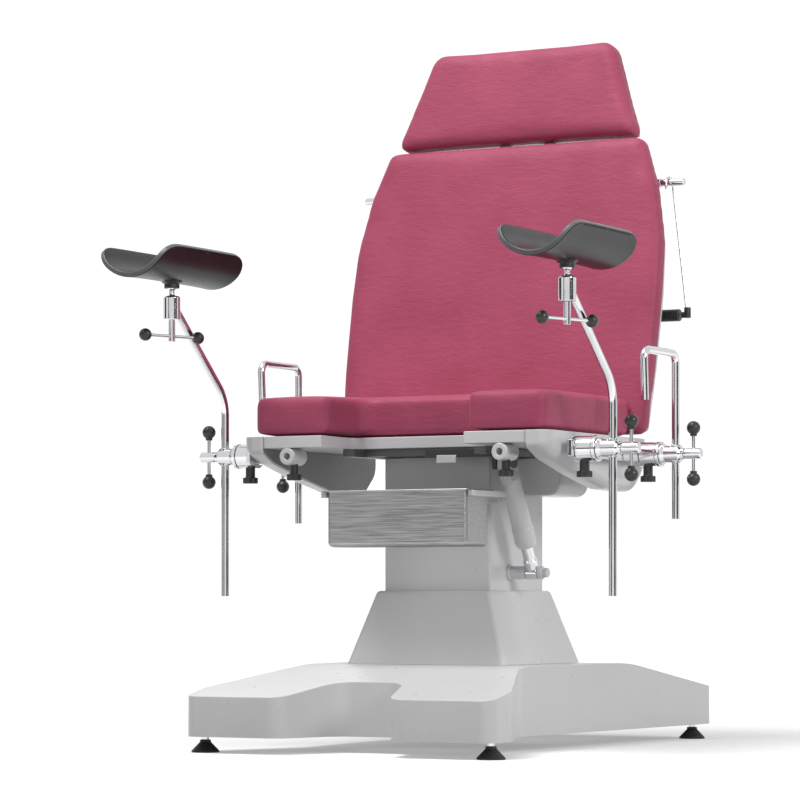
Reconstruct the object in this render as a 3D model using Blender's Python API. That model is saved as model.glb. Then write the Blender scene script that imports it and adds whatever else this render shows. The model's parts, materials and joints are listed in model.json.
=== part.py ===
"""Gynaecological examination chair on a lifting column, modelled in metres with +Z up.

The origin is on the floor under the middle of the column. The front of the chair faces -Y.
Every sub-part is one named object, and each moving group hangs on an empty on its joint's axis.
"""

from math import atan2, cos, hypot, pi, radians, sin, sqrt, tan

import bmesh
import bpy
from mathutils import Matrix, Vector

# ---- driving dimensions (metres, degrees) ----
GAP = 0.0003  # clearance between pieces that touch
RUNNING = 0.0003  # radial clearance of a pin or tube in its hole
WALL = 0.005  # wall of the painted covers

BASE_BOTTOM = 0.029
BASE_TOP = 0.154  # plateau under the pedestal
BASE_FRONT_TOP = 0.101
BASE_REAR_TOP = 0.100
BASE_FRONT_Y = -0.496
BASE_REAR_Y = 0.530
BASE_FRONT_HALF = 0.3075
BASE_WAIST_HALF = 0.227
BASE_REAR_HALF = 0.2815
NOTCH_HALF = 0.108  # foot room between the two front legs of the base
NOTCH_BACK_Y = -0.360
PLATEAU_FRONT_Y = -0.215
PLATEAU_REAR_Y = 0.178

FRAME_BOTTOM = 0.0315
FRAME_TOP = 0.0575
FOOT_FRONT = (0.286, -0.4545)
FOOT_REAR = (0.249, 0.490)
FOOT_R = 0.025
STEM_R = 0.005

PEDESTAL_LOW_HALF = (0.165, 0.160)
PEDESTAL_TOP_HALF = (0.119, 0.127)
PEDESTAL_TOP = 0.289

COLUMN_HALF = 0.110
COLUMN_WALL = 0.006
COLUMN_LOW = 0.045
COLUMN_TOP = 0.534
INNER_TOP = 0.500
LIFT_ROD_R = 0.011
LIFT_BODY_R = 0.030

TILT_Y, TILT_Z = 0.092, 0.5575  # seat tilt axis, along X
TILT_SHAFT_R = 0.008
DRIVE_X = 0.158  # plane of the tilt actuator, right of the column
DRIVE_LOW = (-0.031, 0.322)  # Y, Z of its foot on the column
DRIVE_HIGH = (-0.140, 0.520)  # Y, Z of its head on the seat frame

BASIN_HALF = 0.143
BASIN_FRONT_Y = -0.268
BASIN_REAR_Y = -0.182
BASIN_LOW = 0.3675
BASIN_WALL = 0.002
RAIL_TOP = 0.468  # top of the two bars that carry the basin's flange

SEAT_HALF = 0.300
SEAT_FRONT_Y = -0.274
PLATE_FRONT_Y = -0.285
PLATE_BOTTOM = 0.549
PLATE_TOP = 0.5707
PLATE_HALF = 0.268
CUSHION_TOP = 0.648
SEAT_NOTCH_HALF = 0.142
SEAT_NOTCH_Y = -0.167
BEAM_IN, BEAM_OUT = 0.123, 0.147  # inner and outer X of the seat frame's side beams
BEAM_BOTTOM = 0.5345

SHELL_OUT = 0.312
SIDE_RAIL_IN, SIDE_RAIL_OUT = 0.3253, 0.3333
SIDE_RAIL_Z = 0.540
SIDE_RAIL_H = 0.030

RECLINE = 78.7  # angle of the backrest's front plane from the floor
BACK_ORIGIN = (0.1008, 0.6617)  # Y, Z of the point where heights along the backrest count from
BACK_LOW, BACK_HIGH = -0.078, 0.4965
BACK_CUSHION = 0.050
BACK_SHELL = (0.0505, 0.0785)  # depths of the shell behind the front plane
BACK_INSET = 0.015
BACK_PIVOT = (-0.0986, 0.0638)  # height and depth of the recline axis
HEAD_LOW, HEAD_HIGH = 0.502, 0.6915
HEAD_CUSHION = 0.055
HEAD_SHELL = (0.0555, 0.080)
HEAD_PIVOT = (0.507, 0.0704)
BAR_PLACE = (0.417, 0.0590)  # height and depth of the paper bar
BAR_R = 0.007
BAR_HALF = 0.342
HANGER_DROP = 0.251  # from the paper bar down to the roll's axle
HANGER_TOP_X, HANGER_LOW_X = 0.311, 0.346
HANGER_WIRE = 0.0022
AXLE_HALF = 0.333
LINEAR_LOW = (0.165, 0.500)  # Y, Z of the backrest actuator's foot
LINEAR_HIGH = (0.105, 0.100)  # height and depth of its head
LINEAR_PLAY = 0.0048  # clearance of the open pivot

HOLDER_X = 0.3985  # plane of the leg holders and handrails
HOLDER_Z = 0.539
LEG_Y = -0.203
RAIL_Y = 0.070
CLAMP_R = 0.0225
LEG_ROD_R = 0.0075
KNEE_Y = -0.389
KNEE_BALL_Z = 0.8425
KNEE_BALL_R = 0.009
KNEE_PLAY = 0.0007  # clearance of the ball in its cup
TROUGH_R = 0.078
TROUGH_WALL = 0.010
TROUGH_Y = (-0.530, -0.242)
HANDRAIL_R = 0.0072
SOCKET_X = 0.2166
SOCKET_R = 0.0152

PAINT = ("white_paint", (0.82, 0.82, 0.83), 0.35, 0.0)
STEEL = ("dark_steel", (0.10, 0.10, 0.11), 0.45, 0.7)
CHROME = ("chrome", (0.80, 0.80, 0.82), 0.12, 1.0)
STAINLESS = ("brushed_stainless", (0.55, 0.55, 0.56), 0.32, 1.0)
RUBBER = ("black_plastic", (0.02, 0.02, 0.022), 0.45, 0.0)
LEATHER = ("raspberry_upholstery", (0.36, 0.09, 0.16), 0.55, 0.0)


# ---- modelling helpers ----
def clear_scene():
    for item in list(bpy.data.objects):
        bpy.data.objects.remove(item, do_unlink=True)


def material(finish):
    name, color, rough, metal = finish
    found = bpy.data.materials.get(name)
    if found:
        return found
    made = bpy.data.materials.new(name)
    made.use_nodes = True
    shader = made.node_tree.nodes["Principled BSDF"]
    shader.inputs["Base Color"].default_value = (*color, 1.0)
    shader.inputs["Roughness"].default_value = rough
    shader.inputs["Metallic"].default_value = metal
    return made


def as_object(bm, name="piece"):
    bmesh.ops.remove_doubles(bm, verts=bm.verts, dist=1e-6)
    bmesh.ops.recalc_face_normals(bm, faces=bm.faces)
    mesh = bpy.data.meshes.new(name)
    bm.to_mesh(mesh)
    bm.free()
    made = bpy.data.objects.new(name, mesh)
    bpy.context.scene.collection.objects.link(made)
    return made


def boolean(base, tool, operation):
    """Join or cut base with tool, and use tool up."""
    step = base.modifiers.new(operation.lower(), "BOOLEAN")
    step.operation = operation
    step.object = tool
    step.solver = "EXACT"
    bpy.context.view_layer.update()
    depsgraph = bpy.context.evaluated_depsgraph_get()
    result = bpy.data.meshes.new_from_object(base.evaluated_get(depsgraph))
    base.modifiers.clear()
    base.data = result
    bpy.data.objects.remove(tool, do_unlink=True)
    return base


def join(base, *tools):
    for tool in tools:
        boolean(base, tool, "UNION")
    return base


def cut(base, *tools):
    for tool in tools:
        boolean(base, tool, "DIFFERENCE")
    return base


def block(low, high):
    bm = bmesh.new()
    bmesh.ops.create_cube(bm, size=1.0)
    size = [b - a for a, b in zip(low, high)]
    middle = [(a + b) / 2 for a, b in zip(low, high)]
    bmesh.ops.transform(bm, verts=bm.verts, matrix=Matrix.Translation(middle) @ Matrix.Diagonal((*size, 1.0)))
    return as_object(bm)


def prism(points, reach):
    """Extrude a flat outline of 3-D points by the vector reach."""
    bm = bmesh.new()
    face = bm.faces.new([bm.verts.new(p) for p in points])
    grown = bmesh.ops.extrude_face_region(bm, geom=[face])
    moved = [item for item in grown["geom"] if isinstance(item, bmesh.types.BMVert)]
    bmesh.ops.translate(bm, verts=moved, vec=reach)
    return as_object(bm)


def prism_x(outline, x0, x1):
    return prism([(x0, y, z) for y, z in outline], (x1 - x0, 0, 0))


def prism_z(outline, z0, z1):
    return prism([(x, y, z0) for x, y in outline], (0, 0, z1 - z0))


def loft(low, low_z, high, high_z):
    """Join two outlines with the same number of points, one above the other."""
    bm = bmesh.new()
    rings = [[bm.verts.new((x, y, z)) for x, y in outline] for outline, z in ((low, low_z), (high, high_z))]
    bm.faces.new(reversed(rings[0]))
    bm.faces.new(rings[1])
    count = len(low)
    for i in range(count):
        j = (i + 1) % count
        bm.faces.new((rings[0][i], rings[0][j], rings[1][j], rings[1][i]))
    return as_object(bm)


def turned(profile, at, axis="Z", sides=14):
    """Turn a closed (along, radius) outline about an axis through at."""
    bm = bmesh.new()
    verts = [bm.verts.new((radius, 0.0, along)) for along, radius in profile]
    edges = [bm.edges.new((verts[i], verts[(i + 1) % len(verts)])) for i in range(len(verts))]
    bmesh.ops.spin(bm, geom=verts + edges, axis=(0, 0, 1), cent=(0, 0, 0), angle=2 * pi, steps=sides, use_merge=True)
    bmesh.ops.remove_doubles(bm, verts=bm.verts, dist=1e-6)
    bmesh.ops.dissolve_degenerate(bm, edges=bm.edges, dist=1e-6)
    turn = {"Z": Matrix(), "X": Matrix.Rotation(pi / 2, 4, "Y"), "Y": Matrix.Rotation(-pi / 2, 4, "X")}[axis]
    bmesh.ops.transform(bm, verts=bm.verts, matrix=Matrix.Translation(at) @ turn)
    return as_object(bm)


def rod(start, end, radius, sides=12):
    """A straight cylinder between two points."""
    start, end = Vector(start), Vector(end)
    line = end - start
    bm = bmesh.new()
    bmesh.ops.create_cone(bm, cap_ends=True, segments=sides, radius1=radius, radius2=radius, depth=line.length)
    place = Matrix.Translation((start + end) / 2) @ line.to_track_quat("Z", "Y").to_matrix().to_4x4()
    bmesh.ops.transform(bm, verts=bm.verts, matrix=place)
    return as_object(bm)


def ball(centre, radius, around=8, rings=6):
    bm = bmesh.new()
    bmesh.ops.create_uvsphere(bm, u_segments=around, v_segments=rings, radius=radius)
    bmesh.ops.translate(bm, verts=bm.verts, vec=centre)
    return as_object(bm)


def swept(points, radius, resolution=4):
    """A round bar along a polyline, with flat ends."""
    curve = bpy.data.curves.new("sweep", "CURVE")
    curve.dimensions = "3D"
    curve.bevel_depth = radius
    curve.bevel_resolution = resolution
    curve.use_fill_caps = True
    spline = curve.splines.new("POLY")
    spline.points.add(len(points) - 1)
    for slot, point in zip(spline.points, points):
        slot.co = (*point, 1.0)
    holder = bpy.data.objects.new("sweep", curve)
    bpy.context.scene.collection.objects.link(holder)
    bpy.context.view_layer.update()
    depsgraph = bpy.context.evaluated_depsgraph_get()
    mesh = bpy.data.meshes.new_from_object(holder.evaluated_get(depsgraph))
    bpy.data.objects.remove(holder, do_unlink=True)
    bm = bmesh.new()
    bm.from_mesh(mesh)
    return as_object(bm)


def rounded(corners, steps=4):
    """Outline through (x, y, radius) corners, each rounded with an arc where its radius isn't 0."""
    out = []
    count = len(corners)
    for i, (x, y, radius) in enumerate(corners):
        here = Vector((x, y))
        if radius <= 0:
            out.append((x, y))
            continue
        before = Vector(corners[i - 1][:2]) - here
        after = Vector(corners[(i + 1) % count][:2]) - here
        half = before.angle(after) / 2
        reach = min(radius / tan(half), before.length * 0.49, after.length * 0.49)
        size = reach * tan(half)
        first, last = here + before.normalized() * reach, here + after.normalized() * reach
        centre = here + (before.normalized() + after.normalized()).normalized() * (size / sin(half))
        begin = atan2(first.y - centre.y, first.x - centre.x)
        sweep = atan2(last.y - centre.y, last.x - centre.x) - begin
        sweep = (sweep + pi) % (2 * pi) - pi
        for k in range(steps + 1):
            angle = begin + sweep * k / steps
            out.append((centre.x + size * cos(angle), centre.y + size * sin(angle)))
    return out


def mirrored(right_half):
    """A whole outline from its right half, given from front to back."""
    return right_half + [(-x, *rest) for x, *rest in reversed(right_half)]


def shrunk(outline, amount):
    """Offset a counter-clockwise outline inwards by amount."""
    out = []
    count = len(outline)
    for i, (x, y) in enumerate(outline):
        before = Vector((x, y)) - Vector(outline[i - 1])
        after = Vector(outline[(i + 1) % count]) - Vector((x, y))
        n1 = Vector((-before.y, before.x)).normalized()
        n2 = Vector((-after.y, after.x)).normalized()
        bisector = (n1 + n2).normalized()
        out.append((x + bisector.x * amount / bisector.dot(n1), y + bisector.y * amount / bisector.dot(n1)))
    return out


def box_outline(half_x, half_y, radius, steps=4):
    return rounded([(half_x, -half_y, radius), (half_x, half_y, radius),
                    (-half_x, half_y, radius), (-half_x, -half_y, radius)], steps)


def flip(item):
    """Mirror a piece from the right side to the left."""
    item.data.transform(Matrix.Diagonal((-1, 1, 1, 1)))
    item.data.flip_normals()
    return item


def sided(item, side):
    return item if side > 0 else flip(item)


# ---- the backrest's own frame: x across, height up its front plane, depth behind it ----
def back_point(height, depth):
    up, level = sin(radians(RECLINE)), cos(radians(RECLINE))
    return (BACK_ORIGIN[0] + height * level + depth * up, BACK_ORIGIN[1] + height * up - depth * level)


def back_matrix():
    up, level = sin(radians(RECLINE)), cos(radians(RECLINE))
    return Matrix(((1, 0, 0, 0), (0, level, -up, BACK_ORIGIN[0]), (0, up, level, BACK_ORIGIN[1]), (0, 0, 0, 1)))


def lean(item):
    """Move a piece made in (x, height, -depth) to its place on the backrest."""
    item.data.transform(back_matrix())
    return item


def across(place, x0, x1, radius, sides=12):
    """A cylinder along X at a height and depth of the backrest."""
    y, z = back_point(*place)
    return rod((x0, y, z), (x1, y, z), radius, sides)


# ---- bodies and nodes ----
AXES = {}


def body(name, at, parent=None):
    """An empty on a joint's axis, which carries the pieces that move with it."""
    empty = bpy.data.objects.new(name + "_axis", None)
    bpy.context.scene.collection.objects.link(empty)
    place = Vector(at)
    if parent:
        empty.parent = AXES[parent][0]
        empty.location = place - AXES[parent][1]
    else:
        empty.location = place
    AXES[name] = (empty, place)


def node(name, item, finish, owner):
    """Give a finished piece its name and material, and hang it on its body."""
    empty, place = AXES[owner]
    item.data.transform(Matrix.Translation(-place))
    item.parent = empty
    item.name = name
    item.data.name = name
    item.data.materials.clear()
    item.data.materials.append(material(finish))
    item.data.shade_smooth()
    item.data.set_sharp_from_angle(angle=radians(35))
    return item


# ---- base ----
def base_outline():
    right = [(NOTCH_HALF - 0.040, NOTCH_BACK_Y, 0.045), (NOTCH_HALF, BASE_FRONT_Y, 0.040),
             (BASE_FRONT_HALF, BASE_FRONT_Y, 0.025), (BASE_FRONT_HALF, BASE_FRONT_Y + 0.075, 0.05),
             (BASE_WAIST_HALF, -0.23, 0.08), (BASE_WAIST_HALF + 0.012, -0.06, 0.2),
             (BASE_REAR_HALF, BASE_REAR_Y, 0.03)]
    return rounded(mirrored(right), 3)


def base_height(y):
    """Height of the cover's top at y."""
    if y < PLATEAU_FRONT_Y:
        share = (PLATEAU_FRONT_Y - y) / (PLATEAU_FRONT_Y - BASE_FRONT_Y)
        return BASE_TOP - (BASE_TOP - BASE_FRONT_TOP) * share
    if y > PLATEAU_REAR_Y:
        share = (y - PLATEAU_REAR_Y) / (BASE_REAR_Y - PLATEAU_REAR_Y)
        return BASE_TOP - (BASE_TOP - BASE_REAR_TOP) * share
    return BASE_TOP


def sloped_prism(outline, low, drop):
    """The cover's outline from low up to its sloping top, less drop."""
    bm = bmesh.new()
    face = bm.faces.new([bm.verts.new((x, y, low)) for x, y in outline])
    grown = bmesh.ops.extrude_face_region(bm, geom=[face])
    bmesh.ops.translate(bm, verts=[v for v in grown["geom"] if isinstance(v, bmesh.types.BMVert)], vec=(0, 0, 0.05))
    for y in (PLATEAU_FRONT_Y, PLATEAU_REAR_Y):
        geom = bm.verts[:] + bm.edges[:] + bm.faces[:]
        bmesh.ops.bisect_plane(bm, geom=geom, plane_co=(0, y, 0), plane_no=(0, 1, 0), dist=1e-6)
    for vert in bm.verts:
        if vert.co.z > low + 0.01:
            vert.co.z = base_height(vert.co.y) - drop
    return as_object(bm)


def base_cover():
    outline = base_outline()
    shell = sloped_prism(outline, BASE_BOTTOM, 0.0)
    hollow = sloped_prism(shrunk(outline, WALL), BASE_BOTTOM - 0.01, WALL)
    hole = prism_z(box_outline(COLUMN_HALF + 0.008, COLUMN_HALF + 0.008, 0.01), BASE_TOP - 0.02, BASE_TOP + 0.02)
    return cut(shell, hollow, hole)


def base_frame():
    spine = block((-0.125, -0.125, FRAME_BOTTOM + 0.0002), (0.125, 0.125, 0.040))
    fx, fy = FOOT_FRONT
    tail = FOOT_REAR[0] + 0.015
    for side in (1, -1):
        beam = block((0.115, -0.330, FRAME_BOTTOM), (0.150, 0.500, FRAME_TOP))
        leg = prism_z([(0.13, -0.335), (0.215, -0.335), (fx - 0.027, fy - 0.024), (fx + 0.011, fy - 0.024),
                       (fx + 0.011, fy + 0.016), (0.236, -0.300), (0.13, -0.300)], FRAME_BOTTOM + 0.001, FRAME_TOP - 0.001)
        riser = block((0.135, -0.014, FRAME_TOP - 0.015), (0.1585, 0.014, BASE_TOP - WALL - GAP))
        spine = join(spine, sided(beam, side), sided(leg, side), sided(riser, side))
    rear = block((-tail, FOOT_REAR[1] - 0.018, FRAME_BOTTOM + 0.0005), (tail, FOOT_REAR[1] + 0.018, FRAME_TOP - 0.0005))
    front = block((-0.13, -0.328, FRAME_BOTTOM + 0.0015), (0.13, -0.302, FRAME_TOP - 0.0015))
    spine = join(spine, rear, front)
    for x, y in (FOOT_FRONT, FOOT_REAR):
        for side in (1, -1):
            spine = cut(spine, rod((side * x, y, 0.02), (side * x, y, 0.07), STEM_R + RUNNING, 12))
    return spine


def levelling_foot(x, y):
    profile = [(0.0, 0.0), (0.0, FOOT_R), (0.003, FOOT_R), (0.0185, 0.0098), (0.0225, 0.0098), (0.0225, 0.0064),
               (0.0285, 0.0064), (0.0285, STEM_R),
               (FRAME_TOP - 0.003, STEM_R), (FRAME_TOP - 0.003, 0.0)]
    return turned(profile, (x, y, 0), sides=12)


def pedestal_cover():
    low = box_outline(*PEDESTAL_LOW_HALF, 0.012)
    high = box_outline(*PEDESTAL_TOP_HALF, 0.010)
    shell = loft(low, BASE_TOP + GAP, high, PEDESTAL_TOP)
    hollow_low = box_outline(PEDESTAL_LOW_HALF[0] - WALL, PEDESTAL_LOW_HALF[1] - WALL, 0.008)
    hollow_high = box_outline(PEDESTAL_TOP_HALF[0] - 0.004, PEDESTAL_TOP_HALF[1] - 0.004, 0.007)
    hollow = loft(hollow_low, BASE_TOP - 0.001, hollow_high, PEDESTAL_TOP - WALL)
    hole_half = COLUMN_HALF + 0.0008
    hole = prism_z(box_outline(hole_half, hole_half, 0.0055), PEDESTAL_TOP - 0.02, PEDESTAL_TOP + 0.02)
    return cut(shell, hollow, hole)


# ---- lifting column ----
def square_tube(half, wall, low, high):
    tube = prism_z(box_outline(half, half, 0.005), low, high)
    return cut(tube, prism_z(box_outline(half - wall, half - wall, 0.004), low - 0.01, high + 0.01))


def column_inner():
    return square_tube(COLUMN_HALF - COLUMN_WALL - GAP, 0.007, 0.040 + GAP, INNER_TOP)


def lift_cylinder():
    bore = LIFT_ROD_R + RUNNING
    profile = [(0.040 + GAP, 0.0), (0.040 + GAP, LIFT_BODY_R), (0.400, LIFT_BODY_R), (0.400, bore), (0.060, bore),
               (0.060, 0.0)]
    return turned(profile, (0, 0, 0))


def column_head():
    plate_low, plate_top = COLUMN_TOP + GAP, COLUMN_TOP + 0.006
    head = block((-COLUMN_HALF + 0.004, -COLUMN_HALF + 0.004, plate_low),
                 (COLUMN_HALF - 0.004, COLUMN_HALF - 0.004, plate_top))
    head = join(head, rod((0, 0, 0.100), (0, 0, plate_top - 0.001), LIFT_ROD_R))
    for side in (1, -1):
        ear = block((0.046, TILT_Y - 0.0115, plate_top - 0.001), (0.058, TILT_Y + 0.0115, TILT_Z))
        knuckle = rod((0.0457, TILT_Y, TILT_Z), (0.0583, TILT_Y, TILT_Z), 0.0125, 16)
        head = join(head, sided(join(ear, knuckle), side))
    return cut(head, rod((-0.07, TILT_Y, TILT_Z), (0.07, TILT_Y, TILT_Z), TILT_SHAFT_R + RUNNING, 16))


def tilt_drive_foot():
    """The boss on the column's side that the tilt actuator pushes against."""
    eye_low, eye_high = DRIVE_X - 0.0115, DRIVE_X + 0.0115
    start = COLUMN_HALF + GAP
    profile = [(start, 0.0), (start, 0.0125), (eye_low, 0.0125), (eye_low, 0.0045), (eye_high, 0.0045),
               (eye_high, 0.0125), (eye_high + 0.010, 0.0125), (eye_high + 0.010, 0.009), (eye_high + 0.020, 0.009),
               (eye_high + 0.020, 0.0)]
    return turned(profile, (0, *DRIVE_LOW), "X")


def basin_rails():
    bar_low, bar_in = RAIL_TOP - 0.0105, BASIN_HALF + 0.002
    back = -COLUMN_HALF - GAP
    rails = block((-0.095, back - 0.008, 0.390), (0.095, back, RAIL_TOP - 0.001))
    rails = join(rails, block((-0.135, back - 0.0155, 0.448), (0.135, back - 0.001, RAIL_TOP)))
    for side in (1, -1):
        corner = block((0.110, back - 0.034, bar_low + 0.0002), (bar_in + 0.002, back - 0.0245, RAIL_TOP - 0.0004))
        web = block((0.112, back - 0.026, bar_low + 0.0004), (0.133, back - 0.014, RAIL_TOP - 0.0006))
        bar = block((bar_in, BASIN_FRONT_Y, bar_low), (bar_in + 0.0105, back - 0.0243, RAIL_TOP - 0.0002))
        rails = join(rails, sided(corner, side), sided(web, side), sided(bar, side))
    return rails


def basin():
    def outline(grow, radius):
        low, high = BASIN_FRONT_Y - grow, BASIN_REAR_Y + grow
        half = BASIN_HALF + grow
        return rounded([(half, low, radius), (half, high, radius), (-half, high, radius), (-half, low, radius)], 4)
    rim = RAIL_TOP + GAP
    pan = prism_z(outline(0, 0.008), BASIN_LOW, rim + 0.0007)
    flange = prism_z(outline(0.010, 0.012), rim, rim + 0.0015)
    hollow = prism_z(outline(-BASIN_WALL, 0.006), BASIN_LOW + BASIN_WALL, rim + 0.01)
    return cut(join(pan, flange), hollow)


# ---- seat ----
def seat_plate():
    notch, strip = SEAT_NOTCH_Y + 0.004, -0.115
    opening = BEAM_OUT + 0.005
    right = [(SEAT_NOTCH_HALF + 0.003, notch, 0.02), (SEAT_NOTCH_HALF + 0.003, PLATE_FRONT_Y, 0.002),
             (PLATE_HALF, PLATE_FRONT_Y, 0.006), (PLATE_HALF, 0.078, 0.006), (opening, 0.078, 0.004),
             (opening, strip, 0.006)]
    return prism_z(rounded(mirrored(right), 3), PLATE_BOTTOM, PLATE_TOP)


def seat_cushion():
    low, rear_low = PLATE_TOP + GAP, -0.003 / sin(radians(RECLINE))
    right = [(SEAT_NOTCH_HALF - 0.02, SEAT_NOTCH_Y, 0.03), (SEAT_NOTCH_HALF, SEAT_FRONT_Y, 0.015),
             (SEAT_HALF, SEAT_FRONT_Y, 0.020), (SEAT_HALF, 0.0, 0.0)]
    bm = bmesh.new()
    face = bm.faces.new([bm.verts.new((x, y, low)) for x, y in rounded(mirrored(right), 4)])
    grown = bmesh.ops.extrude_face_region(bm, geom=[face])
    top = [v for v in grown["geom"] if isinstance(v, bmesh.types.BMVert)]
    bmesh.ops.translate(bm, verts=top, vec=(0, 0, CUSHION_TOP - low))
    slope = cos(radians(RECLINE)) / sin(radians(RECLINE))
    for vert in bm.verts:
        if vert.co.y > -0.001:
            vert.co.y = BACK_ORIGIN[0] + rear_low + (vert.co.z - BACK_ORIGIN[1]) * slope
    return as_object(bm)


def seat_frame():
    top = PLATE_TOP - 0.001
    pivot = back_point(*BACK_PIVOT)
    frame = block((-BEAM_OUT, -0.160, BEAM_BOTTOM + 0.0005), (BEAM_OUT, -0.140, PLATE_BOTTOM - GAP))
    for side in (1, -1):
        low = block((BEAM_IN, -0.200, BEAM_BOTTOM), (BEAM_OUT, -0.100, PLATE_BOTTOM - GAP - 0.0002))
        high = block((BEAM_IN + 0.0003, -0.1115, BEAM_BOTTOM + 0.0002), (BEAM_OUT - 0.0003, 0.100, top))
        tail = block((BEAM_IN + 0.0006, 0.090, BEAM_BOTTOM + 0.0004), (BEAM_OUT - 0.0006, pivot[0], pivot[1] + 0.0115))
        lug = rod((BEAM_IN + 0.0009, *pivot), (BEAM_OUT - 0.0009, *pivot), 0.012)
        pin = rod((BEAM_OUT - 0.012, *pivot), (BEAM_OUT + 0.014, *pivot), 0.006, 16)
        y, z = LINEAR_LOW
        web = prism_x([(0.118, 0.540), (y - 0.018, z - 0.008), (y, z - 0.014), (y + 0.013, z), (y + 0.004, z + 0.013),
                       (pivot[0], 0.546)], 0.128, 0.140)
        frame = join(frame, sided(low, side), sided(high, side), sided(tail, side), sided(lug, side),
                     sided(pin, side), sided(web, side))
    shaft = rod((-BEAM_IN - 0.006, TILT_Y, TILT_Z), (BEAM_IN + 0.006, TILT_Y, TILT_Z), TILT_SHAFT_R, 16)
    linear_shaft = rod((-0.134, *LINEAR_LOW), (0.134, *LINEAR_LOW), 0.008, 16)
    y, z = DRIVE_HIGH
    bracket = prism_x([(y - 0.024, BEAM_BOTTOM + 0.004), (y - 0.014, z - 0.012), (y + 0.014, z - 0.012),
                       (y + 0.024, BEAM_BOTTOM + 0.004)], BEAM_OUT - 0.010, BEAM_OUT - 0.0008)
    drive_pin = rod((BEAM_OUT - 0.006, y, z), (DRIVE_X + 0.0125, y, z), 0.006, 16)
    collar = rod((DRIVE_X + 0.0123, y, z), (DRIVE_X + 0.018, y, z), 0.010, 16)
    return join(frame, shaft, linear_shaft, bracket, drive_pin, collar)


def side_shell():
    """Scoop-shaped cover under the seat's side, open at the top."""
    contour = [(-0.287, PLATE_TOP, 0.0), (-0.287, 0.540, 0.012), (-0.245, 0.522, 0.05), (-0.150, 0.499, 0.08),
               (-0.020, 0.474, 0.06), (0.095, 0.4715, 0.035), (0.1435, 0.515, 0.05), (0.1435, PLATE_TOP, 0.0)]
    inner = [(-0.282, PLATE_TOP + 0.01, 0.0), (-0.282, 0.5435, 0.010), (-0.243, 0.527, 0.05), (-0.149, 0.504, 0.08),
             (-0.020, 0.479, 0.06), (0.092, 0.4765, 0.03), (0.1385, 0.517, 0.045), (0.1385, PLATE_TOP + 0.01, 0.0)]
    inside = PLATE_HALF + GAP
    shell = prism_x(rounded(contour, 3), inside, SHELL_OUT)
    return cut(shell, prism_x(rounded(inner, 3), inside + WALL, SHELL_OUT - WALL))


def side_rail():
    low, high = SIDE_RAIL_Z - SIDE_RAIL_H / 2, SIDE_RAIL_Z + SIDE_RAIL_H / 2
    rail = block((SIDE_RAIL_IN, -0.235, low), (SIDE_RAIL_OUT, 0.130, high))
    for y in (-0.120, -0.070, 0.120):
        boss = rod((SHELL_OUT + GAP, y, SIDE_RAIL_Z), (SIDE_RAIL_IN + 0.002, y, SIDE_RAIL_Z), 0.009, 10)
        rail = join(rail, boss)
    return rail


def accessory_socket():
    y0, y1 = -0.287, -0.237
    bore = 0.0065
    z = PLATE_BOTTOM - GAP - SOCKET_R
    tube = turned([(y0, bore), (y0, SOCKET_R), (y1, SOCKET_R), (y1, bore)], (SOCKET_X, 0, z), "Y")
    return cut(tube, rod((SOCKET_X, -0.259, z - 0.03), (SOCKET_X, -0.259, z - 0.0095), 0.0075 + RUNNING, 16))


def socket_screw():
    top = PLATE_BOTTOM - GAP - SOCKET_R - 0.0095 - GAP
    profile = [(0.4905, 0.0), (0.4905, 0.0135), (0.502, 0.0135), (0.502, 0.0075), (top, 0.0075), (top, 0.0)]
    return turned(profile, (SOCKET_X, -0.259, 0), sides=16)


def drive_housing():
    """Hangs under the seat frame's right beam, beside the column."""
    inner, outer = COLUMN_HALF + 0.0075, BEAM_OUT + 0.059
    low, top = BEAM_BOTTOM - 0.071, BEAM_BOTTOM - GAP
    outline = rounded([(inner, low, 0.018), (outer, low, 0.022), (outer, top, 0.006), (inner, top, 0.004)], 4)
    return prism([(x, -0.019, z) for x, z in outline], (0, 0.124, 0))


# ---- linear actuators ----
def actuator_frame(low, high):
    """Start, unit direction and length from one pivot to the other, as (Y, Z)."""
    dy, dz = high[0] - low[0], high[1] - low[1]
    length = hypot(dy, dz)
    return (dy / length, dz / length), length


def along(low, direction, distance, x):
    return (x, low[0] + direction[0] * distance, low[1] + direction[1] * distance)


def tilt_actuator():
    direction, length = actuator_frame(DRIVE_LOW, DRIVE_HIGH)
    sleeve = rod(along(DRIVE_LOW, direction, 0.056, DRIVE_X), along(DRIVE_LOW, direction, length - 0.004, DRIVE_X), 0.0195)
    y, z = DRIVE_HIGH
    half = 0.0105
    head = rod((DRIVE_X - half, y, z), (DRIVE_X + half, y, z), 0.019, 16)
    for x0, x1 in ((DRIVE_X - 0.03, DRIVE_X - half), (DRIVE_X + half, DRIVE_X + 0.03)):
        sleeve = cut(sleeve, prism_x([(y - 0.05, z - 0.032), (y + 0.05, z - 0.032), (y + 0.05, z + 0.05),
                                      (y - 0.05, z + 0.05)], x0, x1))
    sleeve = join(sleeve, head)
    bore = rod(along(DRIVE_LOW, direction, 0.04, DRIVE_X), along(DRIVE_LOW, direction, 0.196, DRIVE_X), 0.011 + RUNNING)
    return cut(sleeve, bore, rod((DRIVE_X - 0.03, y, z), (DRIVE_X + 0.03, y, z), 0.006 + RUNNING, 16))


def tilt_actuator_rod():
    direction, _ = actuator_frame(DRIVE_LOW, DRIVE_HIGH)
    y, z = DRIVE_LOW
    half = 0.011
    eye = rod((DRIVE_X - half, y, z), (DRIVE_X + half, y, z), 0.0125)
    bar = rod(along(DRIVE_LOW, direction, 0.009, DRIVE_X), along(DRIVE_LOW, direction, 0.190, DRIVE_X), 0.011)
    return cut(join(eye, bar), rod((DRIVE_X - 0.03, y, z), (DRIVE_X + 0.03, y, z), 0.0045 + 0.0018, 16))


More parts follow.
